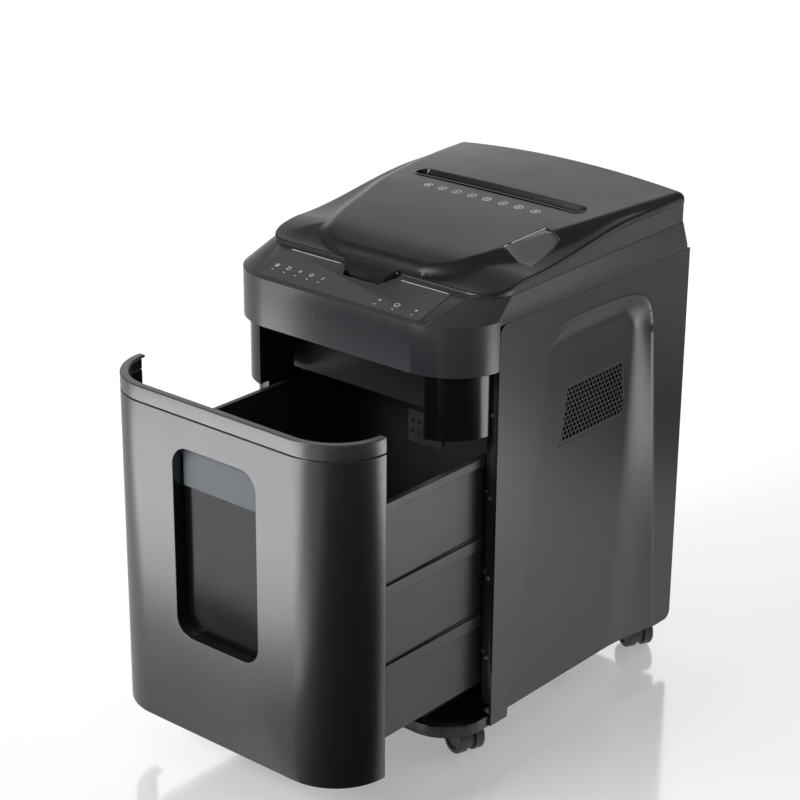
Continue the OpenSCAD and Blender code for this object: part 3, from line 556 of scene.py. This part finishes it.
def draw_collar():
    """The wedge-shaped ring between the housing and the lid."""
    bm = bmesh.new()
    top, bottom = slab(bm, COLLAR, TOP + 22, TOP + 60)
    for face in (top, bottom):
        ring(bm, face, COLLAR, MOUTH, face.verts[0].co.z)
    hole = [e for face in (top, bottom) for e in face.edges]
    bmesh.ops.delete(bm, geom=[top, bottom], context="FACES_ONLY")
    bmesh.ops.bridge_loops(bm, edges=hole)
    for i in range(1, SLICES):
        cut_at(bm, (0, DEPTH * i / SLICES, 0), (0, 1, 0))
    for v in bm.verts:
        upper = v.co.z > TOP + 40
        v.co.z = lid_edge(v.co.y) if upper else seam_height(v.co.y) + 0.35
    bmesh.ops.recalc_face_normals(bm, faces=bm.faces[:])
    piece = finish_piece("moulded_head_collar", bm, "cabinet_abs", "cabinet", ["head_collar"])
    carve(piece, draw_latch_pocket())


def on_deck(bm):
    """Lays a drawing of x, distance up the slope and lift onto the deck."""
    for v in bm.verts:
        v.co = deck_point(*v.co)


def draw_control_strip():
    """The polished strip on the deck, with a notch for the latch."""
    bm = bmesh.new()
    outline = [(-111, 8), (-109, 6), (104, 6), (106, 8), (106, 56), (104, 58), (34, 58),
               (25.5, 39.5), (-25.5, 39.5), (-34, 58), (-109, 58), (-111, 56)]
    prism(bm, [(x, along, 0.05) for x, along in outline], (0, 0, 0.25))
    bmesh.ops.recalc_face_normals(bm, faces=bm.faces[:])
    on_deck(bm)
    finish_piece("moulded_control_strip", bm, "gloss_abs", "cabinet", ["control_strip"],
                 paint=STRIP)
    # Thin near-white bars along the strip's rear edge: painted highlights of that edge
    bm = bmesh.new()
    for x0, x1 in ((-108, -40), (42, 103)):
        bar(bm, (x0, 57.1, 0.2), (x1, 57.6, 0.5), 0.1)
    on_deck(bm)
    finish_piece("strip_edge_painted_highlights", bm, "gloss_abs", "cabinet", paint=INK_AND_HIGHLIGHT)
    bm = bmesh.new()
    bar(bm, (106.1, 5, 0), (107.1, 60, 0.12))
    on_deck(bm)
    finish_piece("strip_end_groove", bm, "inner_abs", "cabinet")
    # A thin film of the trim finish, with no crease drawn under it: a painted highlight of a faint
    # crease in the deck
    bm = bmesh.new()
    stroke(bm, [(118, 4), (127, 61)], 0.6)
    bmesh.ops.translate(bm, vec=(0, 0, 0.1), verts=bm.verts[:])
    on_deck(bm)
    thicken(finish_piece("deck_crease_painted_highlight", bm, "trim_abs", "cabinet"), 0.08)


def stroke(bm, points, width, closed=False):
    """A flat line of even width through a chain of points."""
    sides = []
    for i, (x, y) in enumerate(points):
        before = points[i - 1] if i or closed else points[i]
        after = points[(i + 1) % len(points)] if i + 1 < len(points) or closed else points[i]
        run = Vector(after) - Vector(before)
        off = Vector((-run.y, run.x)).normalized() * width / 2
        sides.append([bm.verts.new((x + s * off.x, y + s * off.y, 0)) for s in (-1, 1)])
    pairs = zip(sides, sides[1:] + (sides[:1] if closed else []))
    for (a_right, a_left), (b_right, b_left) in pairs:
        bm.faces.new((a_right, b_right, b_left, a_left))


def arc(radius, start, turn, steps):
    """Points along an arc. A full turn leaves out the last point, which would be the first."""
    angles = [math.radians(start + turn * i / steps) for i in range(steps + (turn < 360))]
    return [(radius * math.cos(a), radius * math.sin(a)) for a in angles]


# Each mark as chains of points, in millimetres about its middle
BOX = [(-1.6, -2), (1.6, -2), (1.6, 2), (-1.6, 2), (-1.6, -2)]
GLYPHS = {
    "sheet": [BOX, [(-0.8, 0.7), (0.8, 0.7)], [(-0.8, -0.5), (0.8, -0.5)]],
    "full": [[(-1.9, 1.6), (-1.4, -2), (1.4, -2), (1.9, 1.6)], [(-2.3, 2.1), (2.3, 2.1)]],
    "door": [BOX, [(0.7, -0.5), (0.7, 0.5)]],
    "heat": [arc(1.1, 100, 340, 14), [(0, 0.9), (0, 2.6)]],
    "load": [[(0.7, 2.4), (-1, 0.1), (1, 0.1), (-0.7, -2.4)]],
    "power": [arc(2.2, 125, 290, 18), [(0, 0.6), (0, 2.9)]],
    "back": [[(0.2, 1.6), (-1.6, 0), (0.2, -1.6)], [(2, 1.6), (0.2, 0), (2, -1.6)]],
    "onward": [[(-0.2, 1.6), (1.6, 0), (-0.2, -1.6)], [(-2, 1.6), (-0.2, 0), (-2, -1.6)]],
    "cross": [[(-1.7, -1.7), (1.7, 1.7)], [(-1.7, 1.7), (1.7, -1.7)]],
    "dot": [arc(1.2, 0, 350, 12)],
    "bars": [[(-1.5, -1.5), (-1.5, 0.4)], [(0, -1.5), (0, 1.2)], [(1.5, -1.5), (1.5, 2)]],
}


def draw_mark(bm, glyph, x, y, scale, width=0.65):
    for chain in GLYPHS[glyph]:
        stroke(bm, [(x + a * scale, y + b * scale) for a, b in chain], width)


def draw_deck_marks():
    """Status marks at the left of the strip and touch marks at the right, each over a dash."""
    status_up, touch_up, dash_below, dash_half = 27, 20, 8, 1.2
    marks = [(x, status_up, glyph, 1.1) for x, glyph in
             zip((-102, -86, -70, -54, -38), ("sheet", "full", "heat", "door", "load"))]
    marks += [(44, touch_up, "back", 0.7), (67, touch_up, "power", 1.35),
              (92, touch_up, "onward", 0.7)]
    bm = bmesh.new()
    for x, up, glyph, scale in marks:
        draw_mark(bm, glyph, x, up, scale)
        stroke(bm, [(x - dash_half, up - dash_below), (x + dash_half, up - dash_below)], 0.8)
    bmesh.ops.translate(bm, vec=(0, 0, 0.38), verts=bm.verts[:])
    on_deck(bm)
    thicken(finish_piece("deck_marks", bm, "light_guide", "cabinet", paint=INK_AND_HIGHLIGHT), INK_FILM)


# ------------------------------------------------------------------ side panels

# The scoop's outline on the panel's face and at its floor, as (y, z)
SCOOP_RIM = [(27, 33), (40, 160), (52, 252), (71, 385), (77, 432), (84, 450), (96, 461),
             (113, 466.5), (222, 465), (250, 458), (264, 444), (270, 428), (287, 230), (304, 33)]
SCOOP_FLOOR = [(37, 33), (61, 252), (79, 385), (88, 424), (104, 436), (232, 436), (246, 420),
               (222, 33)]
SCOOP_DEPTH = 11
# How tightly the rim's corners are rounded (per mm), and how steeply its slope begins
RIM_TIGHTNESS, RIM_SLOPE = 0.35, 1.7
# The vent's opening, as (y, z)
VENT = [(119, 320), (127, 382), (132, 387), (228, 387), (233, 383), (240, 328), (232, 320)]


def edge_lines(points):
    """Each side of a clockwise outline as its inward direction and offset."""
    lines = []
    for (ya, za), (yb, zb) in zip(points, points[1:] + points[:1]):
        length = math.hypot(yb - ya, zb - za)
        inward = ((zb - za) / length, (ya - yb) / length)
        lines.append((*inward, -inward[0] * ya - inward[1] * za))
    return lines


# The scoop is open at its bottom, so each outline's last side is left out
RIM_LINES, FLOOR_LINES = edge_lines(SCOOP_RIM)[:-1], edge_lines(SCOOP_FLOOR)[:-1]


def scoop_depth(y, z):
    """How deep the panel's face is pressed in at a place."""
    total = sum(math.exp(-RIM_TIGHTNESS * (a * y + b * z + c)) for a, b, c in RIM_LINES)
    inside = -math.log(total) / RIM_TIGHTNESS
    if inside <= 0:
        return 0
    off_floor = sum(max(-(a * y + b * z + c), 0) ** 3 for a, b, c in FLOOR_LINES) ** (1 / 3)
    part = inside / (inside + off_floor)
    return SCOOP_DEPTH * (1 - (1 - part) ** RIM_SLOPE)


def straight(points, at):
    """The value at a place on a chain of straight lines, held beyond its ends."""
    at = min(max(at, points[0][0]), points[-1][0])
    for (a, u), (b, v) in zip(points, points[1:]):
        if at <= b:
            return u + (v - u) * (at - a) / (b - a)


# The scoop's front and rear edges, as y at each z
SCOOP_FRONT = [(z, y) for y, z in SCOOP_RIM[:6]]
SCOOP_REAR = [(z, y) for y, z in reversed(SCOOP_RIM[10:])]


def panel_place(u, v):
    """Where a grid point lies on a side panel. Grid lines follow the scoop's two long edges."""
    z = FOOT + v * (PANEL_HIGH.z - FOOT)
    columns = [(0, 0), (0.2, straight(SCOOP_FRONT, z)), (0.85, straight(SCOOP_REAR, z)),
               (1, DEPTH)]
    return straight(columns, u), z


def draw_side_panel(name, side):
    """A side panel's pressed face with its turned edges and the opening for the vent.

    It is drawn and cut for the right side, and then mirrored for the left.
    """
    bm = bmesh.new()
    bmesh.ops.create_grid(bm, x_segments=120, y_segments=150, size=1)
    rim = [e for e in bm.edges if e.is_boundary]
    low, high = FOOT, PANEL_HIGH.z
    for v in bm.verts:
        y, z = panel_place((v.co.x + 1) / 2, (v.co.y + 1) / 2)
        for cy, cz, radius in ((0, high, 12), (DEPTH, low, 10)):
            u, w = abs(y - cy), abs(z - cz)
            if u < radius and w < radius:
                a, b = radius - u, radius - w
                shrink = max(a, b) / max(math.hypot(a, b), 0.001)
                y += (1 if cy == 0 else -1) * (a - a * shrink)
                z += (1 if cz == low else -1) * (b - b * shrink)
        v.co = (HALF - scoop_depth(y, z), y, z)
    for v in drawn_verts(bmesh.ops.extrude_edge_only(bm, edges=rim)["geom"]):
        v.co.x = HALF - 3 - scoop_depth(v.co.y, v.co.z)
    face_outward(bm, 0)
    piece = finish_piece("moulded_" + name, bm, "cabinet_abs", "cabinet", [name])
    tool = bmesh.new()
    prism(tool, [(HALF - 30, y, z) for y, z in VENT], (40, 0, 0))
    carve(piece, tool, "FAST")
    if side < 0:
        piece.data.transform(Matrix.Scale(-1, 4, (1, 0, 0)))
        piece.data.flip_normals()
    thicken(piece, PANEL_WALL)
    round_off(piece, PANEL_EDGE, 2, 50)


FLANGE_Y = 0.4
SCREW_Z = (120, 212, 302, 393)
SCREW_HEAD = [(0, 1.7), (1.2, 1.6), (2.4, 1.0), (2.8, 0.3), (2.8, 0), (0, 0)]


def draw_flanges(side):
    """The flanges inside a panel's front and back edges, with screws and tabs in the front one."""
    word = "right" if side > 0 else "left"
    bm = bmesh.new()
    x0, x1 = sorted((side * (HALF - 14), side * (HALF - 2.6)))
    for y0, y1 in ((FLANGE_Y, 3), (DEPTH - 8, DEPTH - 5)):
        bar(bm, (x0, y0, PANEL_LOW.z + 12), (x1, y1, PANEL_HIGH.z - 14), 0.4)
    finish_piece(word + "_panel_flanges", bm, "cabinet_abs", "cabinet")
    bm = bmesh.new()
    forward = Matrix.Rotation(-math.pi / 2, 3, "Z")
    screw, tab = side * (HALF - 9), side * (HALF - 12.5)
    for z in SCREW_Z:
        head = bmesh.new()
        lathe(head, SCREW_HEAD, 24)
        bmesh.ops.rotate(head, cent=(0, 0, 0), matrix=forward, verts=head.verts[:])
        bmesh.ops.translate(head, vec=(screw, FLANGE_Y, z), verts=head.verts[:])
        merge_in(bm, head)
        bar(bm, (screw - 1.6, -1.6, z - 0.3), (screw + 1.6, -1.1, z + 0.3))
        bar(bm, (tab - 1.2, -1.4, z + 5), (tab + 1.2, FLANGE_Y, z + 9), 0.4)
    finish_piece(word + "_flange_screws", bm, "zinc_plate", "cabinet")


def merge_in(bm, part):
    """Adds a separate drawing to a bigger one."""
    mesh = bpy.data.meshes.new("part")
    part.to_mesh(mesh)
    part.free()
    bm.from_mesh(mesh)
    bpy.data.meshes.remove(mesh)


def draw_base_board():
    """The board under the bin, narrowed where it lies behind the side panels."""
    bm = drawing_of("base_board")
    from_frame(bm)
    for y in (2, 6):
        cut_at(bm, (0, y, 0), (0, 1, 0))
    narrow = HALF - 15
    for v in bm.verts:
        if v.co.y > 5:
            v.co.x = max(min(v.co.x, narrow), -narrow)
    piece = finish_piece("moulded_base_board", bm, "cabinet_abs", "cabinet", ["base_board"])
    round_off(piece, BOARD_EDGE)


def draw_rib_ledges():
    """The sloping ledges over the two ribs, along both sides of the tub."""
    tier = (BIN_HIGH.z - BIN_LOW.z) / 3
    wall, reach, ends = BIN_HIGH.x - 4, 2.45, (BIN_LOW.y + 22, BIN_HIGH.y - 22)
    bm = bmesh.new()
    for top in (BIN_LOW.z + tier - 4, BIN_LOW.z + 2 * tier - 3):
        for side in (-1, 1):
            made = bmesh.ops.create_cube(bm, size=1)["verts"]
            for v, y in zip(made, ends * 4):
                outer, upper = v.co.x > 0, v.co.z > 0
                out = (0.1 if upper else reach) if outer else -1
                v.co = (side * (wall + out), y, top + (5 if upper else -0.5))
    bmesh.ops.recalc_face_normals(bm, faces=bm.faces[:])
    finish_piece("tub_rib_ledges", bm, "bin_pp", "bin_drawer")


# ------------------------------------------------------------------ lid

# By y: half the width of the raised middle, and its heights above TOP at its sides and middle
RAISED_WIDTH = [(0, 72), (34, 91), (68, 105), (128, 121), (172, 132), (268, 146), (333, 152)]
CREST = [(0, 34), (34, 44), (68, 49), (128, 54.5), (172, 58), (268, 60.5), (333, 60)]
RIDGE = [(0, 35), (34, 43.5), (68, 48.5), (128, 55), (206, 61), (268, 65.2), (333, 68.4)]


def follow(points, y):
    """A smooth curve through (y, value) points, held beyond its ends."""
    y = min(max(y, points[0][0]), points[-1][0])
    i = max(k for k in range(len(points) - 1) if points[k][0] <= y)
    slopes = []
    for k in (i, i + 1):
        a, b = points[max(k - 1, 0)], points[min(k + 1, len(points) - 1)]
        slopes.append((b[1] - a[1]) / (b[0] - a[0]))
    (y0, v0), (y1, v1) = points[i], points[i + 1]
    span = y1 - y0
    t = (y - y0) / span
    return ((2 * t**3 - 3 * t**2 + 1) * v0 + (t**3 - 2 * t**2 + t) * span * slopes[0]
            + (3 * t**2 - 2 * t**3) * v1 + (t**3 - t**2) * span * slopes[1])


def beyond(u, v):
    """How far a point lies outside a quarter plane, negative inside."""
    return math.hypot(max(u, 0), max(v, 0)) + min(max(u, v), 0)


def inset_from(plan, x, y):
    """How far a point lies inside an outline."""
    front = y < (plan.front + plan.back) / 2
    radius = plan.r_front if front else plan.r_back
    u = abs(x) - (plan.half - radius)
    v = (plan.front + radius - y) if front else (y - plan.back + radius)
    return radius - beyond(u, v)


def blend_max(a, b, width):
    """The larger of two heights, with a rounded join."""
    t = max(width - abs(a - b), 0) / width
    return max(a, b) + t * t * width / 4


# The raised middle's front edge, its corner radius, and how wide its join with the shoulders is
RAISED_FRONT, RAISED_CORNER, RAISED_JOIN = 9, 24, 1.2


def lid_height(x, y):
    """Height of the lid's upper surface above the floor."""
    depth = inset_from(LID, x, y)
    rim = 2.6 + 5.6 * (max(y, 0) / DEPTH) ** 1.5
    shoulder = lid_edge(y) + rim + 0.10 * min(max(depth, 0), 60)
    half, corner, front = follow(RAISED_WIDTH, y), RAISED_CORNER, RAISED_FRONT
    u, v = abs(x) - half + corner, front - y + corner
    away = beyond(u, v) - corner + 1
    forward = max(v, 0) / max(math.hypot(max(u, 0), max(v, 0)), 0.001)
    crest, ridge = follow(CREST, y), follow(RIDGE, y)
    crown = crest + (ridge - crest) * (1 - min(abs(x) / half, 1) ** 2)
    fall = 0.6 + 0.55 * forward
    raised = TOP + crown - fall * blend_max(away, 0, 3)
    height = blend_max(raised, shoulder, RAISED_JOIN)
    radius = min(0.75 * rim, 4)
    if depth < radius:
        height -= radius - math.sqrt(max(radius**2 - (radius - max(depth, 0)) ** 2, 0))
    return height


def stations(length, count):
    """Places along a side, close together near both ends where the rim is rounded."""
    near = [0, 0.3, 0.8, 1.5, 2.5, 4]
    middle = count - 2 * (len(near) - 1)
    step = (length - 2 * near[-1]) / middle
    inner = [near[-1] + step * i for i in range(1, middle)]
    return near + inner + [length - n for n in reversed(near)]


def draw_lid():
    """The lid's skin: a raised middle between two shoulders, over a rim on the collar's edge."""
    bm = bmesh.new()
    across, along = 150, 160
    bmesh.ops.create_grid(bm, x_segments=across, y_segments=along, size=1)
    xs, ys = stations(2 * LID.half, across), stations(LID.back - LID.front, along)
    rim = [e for e in bm.edges if e.is_boundary]
    for v in bm.verts:
        x = xs[round((v.co.x + 1) / 2 * across)] - LID.half
        y = ys[round((v.co.y + 1) / 2 * along)] + LID.front
        front = y < DEPTH / 2
        radius = LID.r_front if front else LID.r_back
        corner = Vector((math.copysign(LID.half - radius, x),
                         LID.front + radius if front else LID.back - radius))
        off = Vector((x, y)) - corner
        # The grid's square corners are pressed onto the outline's round ones
        if off.x * x > 0 and (off.y < 0 if front else off.y > 0):
            off *= max(abs(off.x), abs(off.y)) / off.length
            x, y = corner + off
        v.co = (x, y, lid_height(x, y))
    for v in drawn_verts(bmesh.ops.extrude_edge_only(bm, edges=rim)["geom"]):
        v.co.z = lid_edge(v.co.y) + 0.5
    face_outward(bm, 2)
    piece = finish_piece("moulded_lid", bm, "cabinet_abs", "lid", ["lid_shell"])
    carve(piece, draw_lid_openings(), "FAST")
    thicken(piece, LID_WALL)


# The window's corners, as x from the right side and y on a lid of this depth
WINDOW = [(-61, 78), (-55, 143), (-32, 137), (-21, 76)]
WINDOW_LID_DEPTH = 333


def window_outline(z):
    return [(HALF + x, y * DEPTH / WINDOW_LID_DEPTH, z) for x, y in WINDOW]


def slot_outline(wider, half_depth):
    """An outline round the feed slot, wider than it by a distance at each end."""
    radius = half_depth - 0.1
    return Plan(SLOT_W / 2 + wider, SLOT_Y - half_depth, SLOT_Y + half_depth, radius, radius)


def draw_lid_openings():
    """Solids where the lid is open: the feed slot, the corner window and the latch."""
    bm = bmesh.new()
    slab(bm, slot_outline(0, 10.6), TOP + 15, TOP + 90, 10)
    prism(bm, window_outline(TOP + 15), (0, 0, 60))
    deck_block(bm, (36, 40), (36, 66), -10, 20)
    return bm


def on_lid(verts, lift):
    """Lays a flat drawing onto the lid's surface, a little above it or below."""
    for v in verts:
        v.co.z = lid_height(v.co.x, v.co.y) + lift + v.co.z


def draw_slot_lip():
    """The thin raised lip round the feed slot and the walls that narrow to its throat."""
    bm = bmesh.new()
    outer, inner, throat = slot_outline(0.7, 11.3), slot_outline(-0.6, 10), slot_outline(-2.5, 4.5)
    top, bottom = slab(bm, outer, 0, 1, 10)
    bmesh.ops.delete(bm, geom=[bottom], context="FACES_ONLY")
    top = ring(bm, top, outer, inner, 1)
    top = ring(bm, top, inner, throat, -13)
    top = ring(bm, top, throat, throat, -22)
    bmesh.ops.delete(bm, geom=[top], context="FACES_ONLY")
    for i in range(1, SLICES):
        cut_at(bm, (-SLOT_W / 2 + SLOT_W * i / SLICES, 0, 0), (1, 0, 0))
    for v in bm.verts:
        v.co.z = lid_height(v.co.x, SLOT_Y) + v.co.z * (0.5 if v.co.z > 0 else 1) - 0.2
    piece = finish_piece("slot_lip", bm, "gloss_abs", "lid", ["slot_liner"])
    thicken(piece, LIP_WALL)


def draw_lid_window():
    """The clear corner window, flush with the shoulder, and the bead along its inner side."""
    bm = bmesh.new()
    face = bm.faces.new([bm.verts.new(place) for place in window_outline(0)])
    bmesh.ops.inset_region(bm, faces=[face], thickness=0.35)
    outer = [f for f in bm.faces if f is not face]
    bmesh.ops.delete(bm, geom=outer, context="FACES")
    bmesh.ops.subdivide_edges(bm, edges=bm.edges[:], cuts=7, use_grid_fill=True)
    on_lid(bm.verts, -0.4)
    face_outward(bm, 2)
    piece = finish_piece("lid_window_sheet", bm, "clear_acrylic", "lid", ["lid_window"])
    thicken(piece, WINDOW_SHEET)
    bm = bmesh.new()
    (xa, ya), (xb, yb) = WINDOW[:2]
    length = yb - ya
    for start, end in ((0.02, 0.10), (0.2, 0.97)):
        bar(bm, (0, start * length, -0.4), (1.6, end * length, 0.5), 0.3)
    for v in bm.verts:
        part = v.co.y / length
        x, y = HALF + xa + (xb - xa) * part + v.co.x + 0.8, ya + v.co.y
        v.co = (x, y, lid_height(x, y) + v.co.z)
    finish_piece("lid_window_bead", bm, "light_guide", "lid")


def draw_lid_marks():
    """Eight round marks in front of the feed slot."""
    bm = bmesh.new()
    row_y, line = 174, 0.8
    glyphs = ("sheet", "cross", "load", "dot", "full", "bars", "door", "heat")
    for x, glyph in zip((-73, -53, -33, -12, 8, 30, 51, 73), glyphs):
        stroke(bm, [(x + a, row_y + b) for a, b in arc(4.7, 0, 360, 24)], line, closed=True)
        draw_mark(bm, glyph, x, row_y, 1.0, line)
    on_lid(bm.verts, 0.07)
    thicken(finish_piece("lid_marks", bm, "light_guide", "lid", paint=INK_AND_HIGHLIGHT), 0.05)


def draw_pane_frost_and_light():
    """A frosted film across the top of the bin's window, whose lighter grey stands in for the lit
    inside of the bin above its front wall: painted light.
    """
    low, high = box_mm("bin_window_pane")
    bm = bmesh.new()
    foot = 331
    bar(bm, (low.x + 2, low.y - 0.25, foot), (high.x - 2, low.y - 0.05, high.z - 2))
    finish_piece("pane_frost_painted_light", bm, "smoked_acrylic", "bin_drawer", paint=FROST_AND_PAINTED_LIGHT)


# ------------------------------------------------------------------ stage

# The direction of the world's bright part, and how far the cards are turned, in degrees
BRIGHT_SIDE = (-0.63, 0.745, 0.19)
CARD_TURN = 40.2


def light_panel(name, place, aim, size, power, spread):
    """An area light, in metres, watts and degrees."""
    data = bpy.data.lights.new(name, "AREA")
    data.shape = "RECTANGLE"
    data.size, data.size_y = size
    data.energy = power
    data.spread = math.radians(spread)
    lamp = place_new(name, data)
    lamp.location = place
    lamp.rotation_euler = (Vector(aim) - Vector(place)).to_track_quat("-Z", "Y").to_euler()


def stage_card(name, colour, centre, size, turn, rough=0.5, mirror=0.0, lift=0.0, glow=0.0):
    """A flat card on the ground, lit a little from within if it glows."""
    bm = bmesh.new()
    bmesh.ops.create_grid(bm, x_segments=1, y_segments=1, size=0.5)
    bmesh.ops.scale(bm, vec=(*size, 1), verts=bm.verts[:])
    bmesh.ops.rotate(bm, cent=(0, 0, 0), matrix=Matrix.Rotation(math.radians(turn), 3, "Z"),
                     verts=bm.verts[:])
    bmesh.ops.translate(bm, vec=(*centre, lift), verts=bm.verts[:])
    mesh = bpy.data.meshes.new(name)
    bm.to_mesh(mesh)
    bm.free()
    card = place_new(name, mesh)
    made, tree = material(name)
    surface = add(tree, "BsdfPrincipled",
                  {"Base Color": linear(colour), "Roughness": rough, "Metallic": mirror,
                   "Emission Color": (1, 1, 1, 1), "Emission Strength": glow})
    finish_surface(tree, surface)
    mesh.materials.append(made)


def set_world():
    """White behind the object, softer on rough surfaces, bright from one side in reflections."""
    world = bpy.data.worlds.new("studio")
    bpy.context.scene.world = world
    world.use_nodes = True
    tree = world.node_tree
    tree.nodes.clear()
    path = add(tree, "LightPath")
    toward = add(tree, "TexCoord").outputs["Generated"]
    facing = add(tree, "VectorMath", {"operation": "DOT_PRODUCT", 1: BRIGHT_SIDE}, {0: toward})
    ramp = {"From Min": 0.87, "From Max": 0.97, "To Min": 0.16, "To Max": 1.0}
    mirrored = add(tree, "MapRange", ramp, {"Value": facing.outputs["Value"]})
    soft = add(tree, "Mix", {"data_type": "FLOAT", 3: 0.45},
               {0: path.outputs["Is Diffuse Ray"], 2: mirrored.outputs["Result"]})
    seen = add(tree, "Mix", {"data_type": "FLOAT", 3: 1.0},
               {0: path.outputs["Is Camera Ray"], 2: soft.outputs[0]})
    backdrop = add(tree, "Background", {"Color": (1, 1, 1, 1)}, {"Strength": seen.outputs[0]})
    add(tree, "OutputWorld", None, {"Surface": backdrop.outputs["Background"]})


def set_stage():
    stage_card("white_floor", "#f6f6f6", (0, 0), (28, 28), 0, 0.11, 0.45, glow=0.31)
    stage_card("black_flag", "#030303", (0.91, -0.62), (1.3, 1.5), CARD_TURN, lift=0.002)
    stage_card("grey_card", "#2a2a2a", (0.68, 0.86), (0.5, 0.5), CARD_TURN, lift=0.002)
    set_world()
    light_panel("left_card", (-0.58, -1.12, 0.01), (-0.58, -1.12, 1), (0.85, 1.1), 15, 180)
    light_panel("right_card", (0.98, 0.42, 0.01), (0.98, 0.42, 1), (0.62, 0.40), 4.6, 180)
    light_panel("back_right_panel", (1.7, 1.5, 1.0), (0.15, 0, 0.3), (0.8, 1.2), 2.2, 120)
    light_panel("front_panel", (-0.75, -2.3, 1.7), (0, -0.1, 0.35), (1.2, 1.0), 34, 140)
    bpy.context.scene.view_settings.view_transform = "Standard"


CAMERA_LENS = 103.16
CAMERA_TURN = (40.21, 22.01, 0.48)
CAMERA_PLACE = (1.4543, -1.7287, 1.2657)


def set_camera():
    data = bpy.data.cameras.new("camera")
    data.lens = CAMERA_LENS
    data.sensor_width = 36
    camera = place_new("camera", data)
    yaw, pitch, roll = (math.radians(angle) for angle in CAMERA_TURN)
    turn = (Matrix.Rotation(yaw, 4, "Z") @ Matrix.Rotation(math.pi / 2 - pitch, 4, "X")
            @ Matrix.Rotation(roll, 4, "Z"))
    camera.matrix_world = Matrix.Translation(CAMERA_PLACE) @ turn
    bpy.context.scene.camera = camera


set_camera()
set_stage()
finish_frame_nodes()
for row in SOFTENED:
    soften(*row)
draw_base_board()
draw_rib_ledges()
draw_housing()
draw_collar()
draw_control_strip()
draw_deck_marks()
for name, side in (("left_side_panel", -1), ("right_side_panel", 1)):
    draw_side_panel(name, side)
    draw_flanges(side)
draw_lid()
draw_slot_lip()
draw_lid_window()
draw_lid_marks()
draw_pane_frost_and_light()
